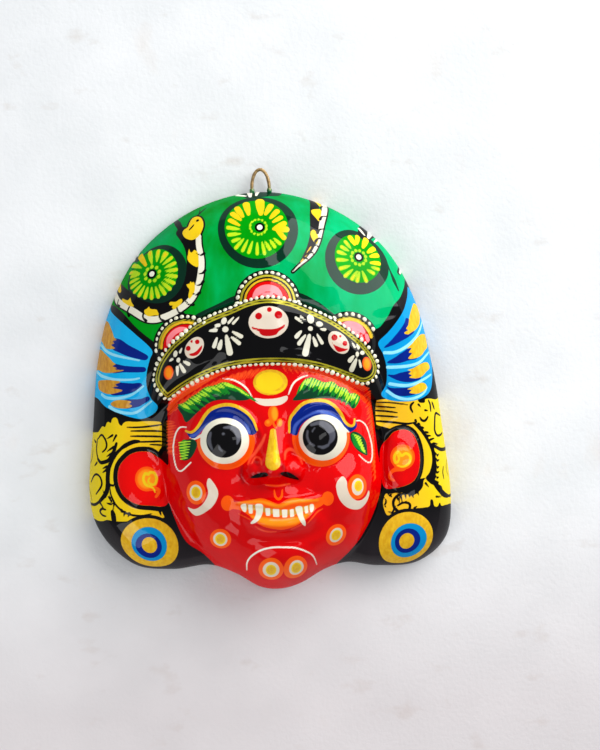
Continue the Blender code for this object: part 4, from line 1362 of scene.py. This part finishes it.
class Graph:
    """A material's node tree, with the few kinds of node that the finishes share."""

    def __init__(self, name: str) -> None:
        """Starts a material with an empty tree."""
        self.material = bpy.data.materials.new(name)
        self.material.use_nodes = True
        self.tree = self.material.node_tree
        self.tree.nodes.clear()
        self.spot = self.node("ShaderNodeTexCoord", {}, {}, "Object")

    def node(self, kind: str, settings: dict[str, Any], sockets: dict[Any, Any], output: Any = 0) -> Sock | None:
        """Adds one node.

        Args:
            kind: The node's type name.
            settings: Its properties, which are set first.
            sockets: Values or links for its inputs, by name or place.
            output: Which of its outputs is wanted, by name or place.

        Returns:
            That output, or nothing where the node has none.
        """
        node = self.tree.nodes.new(kind)
        for key, value in settings.items():
            setattr(node, key, value)
        for key, value in sockets.items():
            target = node.inputs[key]
            if isinstance(value, Sock):
                self.tree.links.new(value.socket, target)
            else:
                target.default_value = (*value, 1) if target.type == "RGBA" else value
        return Sock(self, node.outputs[output]) if node.outputs else None

    def noise(self, size: float, detail: float = 2.0, stretch: Any = None, offset: float = 0.0) -> Sock:
        """Noise from 0 to 1 with features of a size in millimetres, drawn out along the axes by stretch."""
        spot = self.spot
        if stretch:
            moved = {"Vector": spot, "Location": (offset,) * 3, "Scale": stretch}
            spot = self.node("ShaderNodeMapping", {}, moved)
        sockets = {"Vector": spot, "Scale": 1 / (size * MM), "Detail": detail}
        return self.node("ShaderNodeTexNoise", {}, sockets, "Fac")

    def blend(self, share: Sock, low: Any, high: Any) -> Sock:
        """A colour between two, by a share from 0 to 1."""
        return self.node("ShaderNodeMix", {"data_type": "RGBA"}, {0: share, 6: low, 7: high}, 2)

    def attribute(self, name: str) -> Sock:
        """A number that the mesh keeps at its points."""
        return self.node("ShaderNodeAttribute", {"attribute_name": name, "attribute_type": "GEOMETRY"}, {}, "Fac")

    def axis(self, which: str) -> Sock:
        """One of the piece's own coordinates, in metres."""
        return self.node("ShaderNodeSeparateXYZ", {}, {0: self.spot}, which)

    def fade(self, which: str, start: float, stop: float) -> Sock:
        """0 before one place on an axis and 1 past another, both in millimetres."""
        return ((self.axis(which) - start * MM) * (1 / ((stop - start) * MM))).clamp()

    def finish(self, colour: Sock, roughness: Any, height: Sock, depth: float, **sockets: Any) -> bpy.types.Material:
        """Closes the material with one principled shader.

        Args:
            colour: Base colour.
            roughness: Roughness of the base.
            height: Surface height from 0 to 1, for the bump.
            depth: How deep a height of 1 is, in millimetres.
            sockets: Other inputs of the shader, with underscores for spaces.

        Returns:
            The material.
        """
        normal = self.node("ShaderNodeBump", {}, {"Height": height, "Distance": depth * MM})
        values = {"Base Color": colour, "Roughness": roughness, "Normal": normal}
        values |= {key.replace("_", " "): value for key, value in sockets.items()}
        self.node("ShaderNodeOutputMaterial", {}, {0: self.node("ShaderNodeBsdfPrincipled", {}, values)})
        return self.material


# Finishes


@dataclass(frozen=True)
class Lacquer:
    """The whole painted surface: the coats over a black ground, under one glossy varnish."""

    gloss: float = 0.045
    braid_metal: float = 0.15
    shade_share: float = 0.45

    def tints(self, graph: Graph, broad: Sock, lower_black_sheen: Sock) -> dict[Coat, tuple[tuple[Sock, Any], ...]]:
        """How single coats change over the mask, painted shade and painted sheen among the changes.

        Args:
            graph: The material's nodes.
            broad: Slow noise.
            lower_black_sheen: Where the black greys towards the bottom, a painted sheen.

        Returns:
            Each coat's shares and the colours that are blended over it by them, in order.
        """
        across = graph.axis("X")
        # Painted shade: the lighter coats take their darker copies over the brightly lit right side, cream and braid
        # less so, and the sky blue also towards the bottom.
        painted_shade_right = graph.fade("X", 7.1, 78.6) * 0.85
        # Painted sheen: the green turns teal over the right side and the upper left, partly also the enamel's own
        # patchy tone.
        right_teal_sheen = (0.5 + across * 8.0 + (broad - 0.5) * 1.3).clamp()
        left, rim = graph.fade("X", -42, -67) * graph.fade("Y", 70, 95), graph.fade("Y", 95.8, 137.5)
        teal_sheen_tone = graph.blend(self.patches(broad, Coat.GREEN), shade(0, 164, 100), shade(0, 188, 124))
        # Darker crimson towards the left: partly the painter's darker red, partly painted shade on the side away from
        # the light.
        left_crimson_shade = (0.4 - across * 7.0 + (broad - 0.5) * 0.6).clamp() * graph.fade("X", -70, -66)
        # Olive towards the far sides of the hair: painted shade and sheen.
        outer = (across * across * 250.0 - 1.95).clamp()
        return {
            Coat.GREEN: (((right_teal_sheen + left * 0.8).clamp(), teal_sheen_tone), (rim * 0.62, shade(0, 116, 32))),
            Coat.RED: ((left_crimson_shade * 0.3, shade(190, 0, 16)), (graph.fade("X", -69, -71.5), shade(238, 4, 2))),
            Coat.INK: ((lower_black_sheen, shade(46, 40, 44)),),
            Coat.HAIR: ((painted_shade_right, shade(232, 184, 44)), (outer * 0.75, shade(222, 204, 16))),
            Coat.SKY: (((painted_shade_right + graph.fade("Y", -50, -75)).clamp(), Coat.SKY.value.painted_shade),),
            **{coat: ((painted_shade_right, coat.value.painted_shade),) for coat in (Coat.LEMON, Coat.WHITE, Coat.CHALK)},
            **{coat: ((painted_shade_right * self.shade_share, coat.value.painted_shade),) for coat in (Coat.CREAM, Coat.BRAID)},
        }

    def patches(self, grain: Sock, coat: Coat) -> Sock:
        """Where a coat shows its bright colour, from 0 to 1."""
        return ((grain - 0.5) * (2.4 * coat.value.patchiness) + 0.5).clamp()

    def material(self) -> bpy.types.Material:
        """Builds the lacquered paint."""
        graph = Graph("lacquered_enamel")
        wobble = graph.noise(1.6) - 0.5
        broad = graph.noise(14.0, 3.0, (1.0, 0.35, 1.0))
        fine = graph.noise(2.2, 3.0, (1.0, 0.5, 1.0), offset=0.7)
        # Painted sheen: the black ground and the ink grey towards the bottom.
        lower_black_sheen = graph.fade("Y", -85, -118.3) * (0.3 + broad).clamp()
        tints = self.tints(graph, broad, lower_black_sheen)
        colour = graph.blend(lower_black_sheen, shade(16, 16, 18), shade(50, 44, 48))
        masks: dict[Coat, Sock] = {}
        for coat in Coat:
            enamel = coat.value
            away = graph.attribute(coat.store) + wobble * enamel.ragged
            masks[coat] = (0.5 - away / enamel.edge).clamp()
            grain = fine if coat in (Coat.GOLD, Coat.OCHRE) else broad
            tone = graph.blend(self.patches(grain, coat), shade(*enamel.deep), shade(*enamel.bright))
            for share, tint in tints.get(coat, ()):
                tone = graph.blend(share, tone, tint)
            colour = graph.blend(masks[coat], colour, tone)
        thin_varnish = masks[Coat.GREEN] * (1 - masks[Coat.RING] * (1 - masks[Coat.LEAF])) * (1 - masks[Coat.DARK])
        height = graph.attribute(BUILD) * 0.8 + fine * 0.16 + broad * 0.3
        return graph.finish(
            colour, 0.34 + (fine - 0.5) * 0.2, height, 0.07, Metallic=masks[Coat.BRAID] * self.braid_metal,
            Coat_Weight=0.32 - thin_varnish * 0.2, Coat_Roughness=self.gloss, Coat_IOR=1.75, Specular_IOR_Level=0.0,
        )


@dataclass(frozen=True)
class RawPaper:
    """The unpainted hollow side: overlapping torn strips of pulp paper under brushed-on paste."""

    pale: Colour = shade(176, 160, 132)
    dark: Colour = shade(122, 104, 80)
    scraps_a_metre: float = 46.0

    def material(self) -> bpy.types.Material:
        """Builds the layered paper."""
        graph = Graph("layered_paper")
        ragged = graph.noise(7.0, 4.0) - 0.5
        turned = {"Vector": graph.spot, "Rotation": (0, 0, 0.5), "Scale": (1.0, 0.42, 0.6)}
        cells = {"Vector": graph.node("ShaderNodeMapping", {}, turned), "Scale": self.scraps_a_metre}
        scraps = graph.node("ShaderNodeTexVoronoi", {"feature": "F1"}, cells, "Color")
        seams = graph.node("ShaderNodeTexVoronoi", {"feature": "DISTANCE_TO_EDGE"}, cells, "Distance")
        tint = graph.node("ShaderNodeSeparateColor", {}, {0: scraps})
        fibre = graph.noise(0.9, 4.0, (1.0, 0.3, 1.0))
        colour = graph.blend((tint * 0.7 + ragged * 0.8 + 0.15).clamp(), self.dark, self.pale)
        colour = graph.blend((graph.noise(24.0, 3.0) * 2.6 - 1.2).clamp() * 0.5, colour, shade(92, 84, 76))
        colour = graph.blend((fibre * 1.6 - 0.75).clamp() * 0.5, colour, shade(206, 194, 168))
        seam = (seams * 16 + ragged * 0.6).clamp()
        height = seam * 0.35 + tint * 0.5 + fibre * 0.2 + ragged * 0.4
        return graph.finish(colour, 0.86, height, 0.5, Specular_IOR_Level=0.25)


@dataclass(frozen=True)
class BeadPaint:
    """Thick drops of cream-white enamel."""

    def material(self) -> bpy.types.Material:
        """Builds the drops' paint."""
        graph = Graph("bead_enamel")
        tint = graph.noise(5.0)
        colour = graph.blend(tint, shade(226, 222, 182), shade(246, 244, 230))
        gloss = {"Coat_Weight": 1.0, "Coat_Roughness": 0.05}
        return graph.finish(colour, 0.34 + (tint - 0.5) * 0.16, graph.noise(0.8), 0.04, **gloss)


@dataclass(frozen=True)
class OldWire:
    """Dull brass wire, with spilled green enamel where it leaves the shell."""

    paint_top: float
    fade: float = 3.5 * MM

    def material(self) -> bpy.types.Material:
        """Builds the wire's finish."""
        graph = Graph("dull_brass_wire")
        grime = graph.noise(1.4, 4.0)
        scratches = graph.noise(0.5, 3.0, (1.0, 0.16, 1.0))
        metal = graph.blend((grime * 1.6 - 0.3).clamp(), shade(118, 96, 66), shade(198, 168, 120))
        painted = ((self.paint_top - graph.axis("Y")) / self.fade + (grime - 0.5) * 2.6).clamp()
        colour = graph.blend(painted, metal, shade(0, 118, 60))
        roughness = 0.46 - painted * 0.16 + (grime - 0.5) * 0.3
        height = scratches * 0.5 + grime * 0.5 + painted * 0.6
        gloss = {"Metallic": (1 - painted) * 0.7, "Coat_Weight": painted * 0.9, "Coat_Roughness": 0.08}
        return graph.finish(colour, roughness, height, 0.12, **gloss)


@dataclass(frozen=True)
class PaleFloor:
    """A plain pale plastered surface with faint scuffs, and painted shade tinged pink towards the bottom."""

    def material(self) -> bpy.types.Material:
        """Builds the floor's finish."""
        graph = Graph("pale_plaster")
        cloud = graph.noise(60.0, 5.0)
        scuff = graph.noise(26.0, 6.0, (1.0, 1.7, 1.0), offset=0.37)
        rusty = graph.noise(90.0, 6.0, (1.6, 1.0, 1.0), offset=0.11)
        colour = graph.blend((cloud * 2.4 - 0.7).clamp(), shade(221, 223, 224), shade(233, 234, 235))
        colour = graph.blend((scuff * 7.0 - 4.35).clamp() * 0.5, colour, shade(206, 200, 194))
        colour = graph.blend((rusty * 9.0 - 5.75).clamp() * 0.28, colour, shade(214, 196, 180))
        # Painted shade towards the bottom, tinged pink like light thrown back from the red mask.
        colour = graph.blend(graph.fade("Y", -80, -222.9) * 0.45, colour, shade(196, 180, 180))
        height = graph.noise(3.0, 4.0) * 0.6 + cloud * 0.4
        return graph.finish(colour, 0.62 - cloud * 0.1, height, 0.35, Specular_IOR_Level=0.35)


# Pieces


def select_only(*objects: bpy.types.Object) -> None:
    """Selects these objects alone, the first of them active."""
    bpy.ops.object.select_all(action="DESELECT")
    for obj in objects:
        obj.select_set(True)
    bpy.context.view_layer.objects.active = objects[0]


def add_object(name: str, data: Any) -> bpy.types.Object:
    """Adds an object that shows a mesh, a curve, a lamp or a camera."""
    obj = bpy.data.objects.new(name, data)
    bpy.context.collection.objects.link(obj)
    return obj


def coordinates(mesh: bpy.types.Mesh) -> Array:
    """The places of a mesh's points, one a row."""
    flat = np.empty(3 * len(mesh.vertices))
    mesh.vertices.foreach_get("co", flat)
    return flat.reshape(-1, 3)


def reshape(mesh: bpy.types.Mesh, points: Array) -> None:
    """Moves a mesh's points to new places."""
    mesh.vertices.foreach_set("co", points.astype(np.float32).ravel())
    mesh.update()


def keep_values(mesh: bpy.types.Mesh, name: str, values: Array, rest: float) -> None:
    """Stores a number for each of a mesh's points: the values on the first of them, and one number on the rest."""
    full = np.full(len(mesh.vertices), rest, np.float32)
    full[:len(values)] = values
    mesh.attributes.new(name, "FLOAT", "POINT").data.foreach_set("value", full)


def settle(obj: bpy.types.Object, name: str) -> bpy.types.Object:
    """Names an object and its mesh, and applies its place, so that the object sits at the origin."""
    select_only(obj)
    bpy.ops.object.transform_apply(location=True, rotation=True, scale=True)
    obj.name = obj.data.name = name
    return obj


@dataclass
class Shell:
    """The painted shell: a fine outer side, a hollow paper side and the rim between them."""

    lay: Lay
    front_quads: int = 292
    back_quads: int = 104
    paint_slope: float = 1.1

    def grid(self, quads: int) -> tuple[bpy.types.Object, Array, Array]:
        """Adds a flat square grid.

        Args:
            quads: Faces along each side.

        Returns:
            The object, and the share of the reach and the direction that each of its points is bound for.
        """
        bpy.ops.object.select_all(action="DESELECT")
        bpy.ops.mesh.primitive_grid_add(x_subdivisions=quads, y_subdivisions=quads, size=2)
        obj = bpy.context.active_object
        u, v = coordinates(obj.data)[:, :2].T
        across, up = u * np.sqrt(1 - v**2 / 2), v * np.sqrt(1 - u**2 / 2)
        spread = np.hypot(across, up)
        share = np.clip(0.9 * spread + 0.3 * spread**3 - 0.2 * spread**7, 0, 1)
        return obj, share, np.arctan2(up, across)

    def build(self) -> tuple[bpy.types.Object, Array]:
        """Makes the closed shell.

        Returns:
            The object, and the painting plane's place of each point of its outer side, which come first in the mesh.
        """
        outer, share, angle = self.grid(self.front_quads)
        reshape(outer.data, self.lay.surface(share, angle))
        places = self.lay.flattened(share, angle)
        hollow, share, angle = self.grid(self.back_quads)
        reshape(hollow.data, self.lay.surface(share, angle, self.lay.wall))
        select_only(hollow)
        bpy.ops.object.mode_set(mode="EDIT")
        bpy.ops.mesh.select_all(action="SELECT")
        bpy.ops.mesh.flip_normals()
        bpy.ops.object.mode_set(mode="OBJECT")
        outer.data.materials.append(Lacquer().material())
        hollow.data.materials.append(RawPaper().material())
        select_only(outer, hollow)
        bpy.ops.object.join()
        bpy.ops.object.mode_set(mode="EDIT")
        bpy.ops.mesh.select_mode(type="EDGE")
        bpy.ops.mesh.select_all(action="DESELECT")
        bpy.ops.mesh.select_non_manifold()
        bpy.ops.mesh.bridge_edge_loops()
        bpy.ops.mesh.select_all(action="SELECT")
        bpy.ops.mesh.normals_make_consistent(inside=False)
        bpy.ops.object.mode_set(mode="OBJECT")
        bpy.ops.object.shade_smooth()
        return settle(outer, "painted_shell"), places

    def keep_paint(self, obj: bpy.types.Object, canvas: Canvas) -> None:
        """Stores the painting on the shell's points, with how thickly the paint is built up."""
        build = np.zeros(len(canvas.places))
        for coat, away in canvas.fields.items():
            keep_values(obj.data, coat.store, np.clip(away, -REACH, REACH), REACH)
            if coat not in (Coat.GREEN, Coat.DARK, Coat.RED):
                build += rise(0.5 - away / self.paint_slope)
        keep_values(obj.data, BUILD, build, 0.0)


@dataclass
class Beads:
    """The raised drops of white paint along the crown's edge."""

    lay: Lay
    radius: float = 1.56
    height: float = 0.9
    foot: float = 0.35
    step: float = 0.4
    seed: int = 11

    def drop(self) -> tuple[Array, list[tuple[int, ...]]]:
        """Models one drop in millimetres, standing on the origin.

        Returns:
            Its points and its faces.
        """
        bpy.ops.object.select_all(action="DESELECT")
        bpy.ops.mesh.primitive_uv_sphere_add(segments=8, ring_count=6, radius=self.radius)
        ball = bpy.context.active_object
        points = coordinates(ball.data)
        points[:, 2] *= np.where(points[:, 2] > 0, self.height / self.radius, self.foot)
        faces = [tuple(face.vertices) for face in ball.data.polygons]
        bpy.data.objects.remove(ball)
        return points, faces

    def build(self, places: Array) -> bpy.types.Object:
        """Sets a copy of the drop at each place of the painting plane, square to the surface there."""
        points, faces = self.drop()
        draw = np.random.default_rng(self.seed)
        here = self.lay.raised(places)
        along = self.lay.raised(places + (self.step, 0)) - here
        up = self.lay.raised(places + (0, self.step)) - here
        verts, quads = [], []
        for origin, side, rest in zip(here, along, up):
            normal = np.cross(side, rest)
            normal /= np.linalg.norm(normal)
            side /= np.linalg.norm(side)
            frame = np.stack([side, np.cross(normal, side), normal])
            size = draw.uniform(0.84, 1.14) * MM
            stretch = np.array([draw.uniform(0.92, 1.1), draw.uniform(0.92, 1.1), 1.0])
            quads += [tuple(index + len(verts) for index in face) for face in faces]
            verts += list((points * stretch * size) @ frame + origin)
        mesh = bpy.data.meshes.new("crown_beads")
        mesh.from_pydata(verts, [], quads)
        mesh.shade_smooth()
        mesh.materials.append(BeadPaint().material())
        return add_object("crown_beads", mesh)


@dataclass
class WireLoop:
    """The wire that the mask hangs by: a hook inside the shell, a leg and an arch, and the same back."""

    top: float
    edge: float
    wire: float = 2.2 * MM
    width: float = 11.6 * MM
    rise: float = 15.5 * MM
    over_rim: float = 7 * MM
    hook_run: float = 8 * MM
    hook_bend: float = 3 * MM
    hook_depth: float = 9.6 * MM
    arc_steps: int = 14

    def route(self) -> Array:
        """The wire's centre line."""
        half, bend = self.width / 2, self.hook_bend
        arch = self.rise - 1.5 * self.wire
        spring_y = self.top - self.wire / 2 - arch
        hook_y = self.edge - self.hook_depth
        turns = math.pi / 2 * np.linspace(0, 1, self.arc_steps + 1)
        hook = (half + bend * (1 - np.sin(turns)), hook_y + bend * (1 - np.cos(turns)))
        turns = math.pi / 2 * np.linspace(0, 1, 2 * self.arc_steps, endpoint=False)
        bow = (half * np.cos(turns), spring_y + arch * np.sin(turns))
        right = np.vstack([[(half + bend + self.hook_run, hook_y)], np.stack(hook, 1), np.stack(bow, 1)])
        return np.vstack([right, [(0, spring_y + arch)], right[::-1] * (-1, 1)])

    def build(self) -> bpy.types.Object:
        """Bends the wire and lays the blobs of spilled paint at its feet."""
        curve = bpy.data.curves.new("hanging_wire", "CURVE")
        curve.dimensions = "3D"
        curve.bevel_depth = self.wire / 2
        curve.bevel_resolution = 4
        curve.use_fill_caps = True
        spline = curve.splines.new("POLY")
        route = self.route()
        spline.points.add(len(route) - 1)
        for point, (x, y) in zip(spline.points, route):
            point.co = (x, y, self.over_rim, 1)
            point.radius = 1 + 0.05 * math.sin(900 * y + 400 * x)
        wire = add_object("hanging_wire", curve)
        select_only(wire)
        bpy.ops.object.convert(target="MESH")
        blobs = []
        for side in (-1, 1):
            bpy.ops.object.select_all(action="DESELECT")
            place = (side * self.width / 2, self.edge + 0.2 * MM, self.over_rim)
            bpy.ops.mesh.primitive_uv_sphere_add(segments=20, ring_count=12, radius=1, location=place)
            blob = bpy.context.active_object
            blob.scale = (1.75 * MM, 2.3 * MM, 1.75 * MM)
            blobs.append(blob)
        select_only(wire, *blobs)
        bpy.ops.object.join()
        bpy.ops.object.shade_smooth_by_angle(angle=math.radians(50))
        wire.data.materials.append(OldWire(self.edge + 3.2 * MM).material())
        return settle(wire, "hanging_wire")


@dataclass(frozen=True)
class Studio:
    """The floor, the lights and the camera over the mask."""

    target: Vector = Vector((21.28, 1.77, 20)) * MM
    distance: float = 1.1
    lens: float = 80.0
    yaw: float = math.radians(3)
    roll: float = math.radians(2)
    floor_size: float = 3.2

    def set_floor(self) -> None:
        """Lays the floor under the mask."""
        bpy.ops.object.select_all(action="DESELECT")
        bpy.ops.mesh.primitive_plane_add(size=self.floor_size)
        floor = bpy.context.active_object
        floor.name = floor.data.name = "pale_floor"
        floor.data.materials.append(PaleFloor().material())

    def set_lights(self) -> None:
        """Hangs the soft lights and fills the room with pale light."""
        lamps = (
            ("window", (0.83, 0.86, 0.77), (0, 0, 0.5), (1.6, 1.5), 34.0),
            ("skylight", (0.5, 0.12, 1.25), (0, 0, 0.03), (0.24, 0.5), 1.3),
            ("fill", (-0.85, -0.85, 0.9), (0, 0, 0.03), (0.9, 1.2), 9.5),
        )
        for name, place, aim, size, power in lamps:
            light = bpy.data.lights.new(name, "AREA")
            light.shape = "RECTANGLE"
            light.size, light.size_y = size
            light.energy = power
            facing = (Vector(aim) - Vector(place)).to_track_quat("-Z", "Y")
            add_object(name, light).matrix_world = Matrix.Translation(place) @ facing.to_matrix().to_4x4()
        world = bpy.data.worlds.new("pale_room")
        bpy.context.scene.world = world
        world.use_nodes = True
        background = world.node_tree.nodes["Background"]
        background.inputs["Color"].default_value = (0.93, 0.96, 1.0, 1)
        background.inputs["Strength"].default_value = 0.4

    def set_camera(self) -> None:
        """Places the camera over the mask, turned a little as the photographer stood."""
        turn = Matrix.Rotation(-self.yaw, 3, "Y") @ Matrix.Rotation(-self.roll, 3, "Z")
        place = self.target + turn @ Vector((0, 0, self.distance))
        data = bpy.data.cameras.new("camera")
        data.lens = self.lens
        data.clip_end = 10
        camera = add_object("camera", data)
        camera.matrix_world = Matrix.Translation(place) @ turn.to_4x4()
        bpy.context.scene.camera = camera
        view = bpy.context.scene.view_settings
        view.view_transform = "Standard"
        view.look = "Medium High Contrast"
        view.exposure = -0.3


def paint_everything(canvas: Canvas) -> None:
    """Lays every motif on the canvas, in the painter's order."""
    sides = (LEFT_FAN, RIGHT_FAN, LEFT_HAIR, RIGHT_HAIR, *EAR_DISCS, LEFT_EAR, RIGHT_EAR)
    for motif in (Headdress(), *sides, Face(), *EYES, *BROWS, Mouth(), Crown()):
        motif.paint(canvas)


def main() -> None:
    """Builds the floor, the painted shell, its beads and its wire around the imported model."""
    logging.basicConfig(level=logging.INFO, format="%(name)s: %(message)s")
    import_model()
    studio = Studio()
    studio.set_camera()
    studio.set_floor()
    studio.set_lights()

    lay = Lay(Carving(), *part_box("mask_shell"))
    maker = Shell(lay)
    shell, places = maker.build()
    canvas = Canvas(places)
    paint_everything(canvas)
    maker.keep_paint(shell, canvas)
    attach(shell, "root")
    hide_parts("mask_shell")
    LOG.info("shell with %d faces and %d coats", len(shell.data.polygons), len(canvas.fields))

    bead_places = Crown().bead_places()
    beads = Beads(lay).build(bead_places)
    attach(beads, "root")
    LOG.info("%d beads", len(bead_places))

    wire = WireLoop(top=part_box("hanging_loop")[1].y, edge=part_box("mask_shell")[1].y).build()
    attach(wire, "root")
    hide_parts("hanging_loop")
    LOG.info("wire with %d faces", len(wire.data.polygons))


if __name__ == "__main__":
    main()
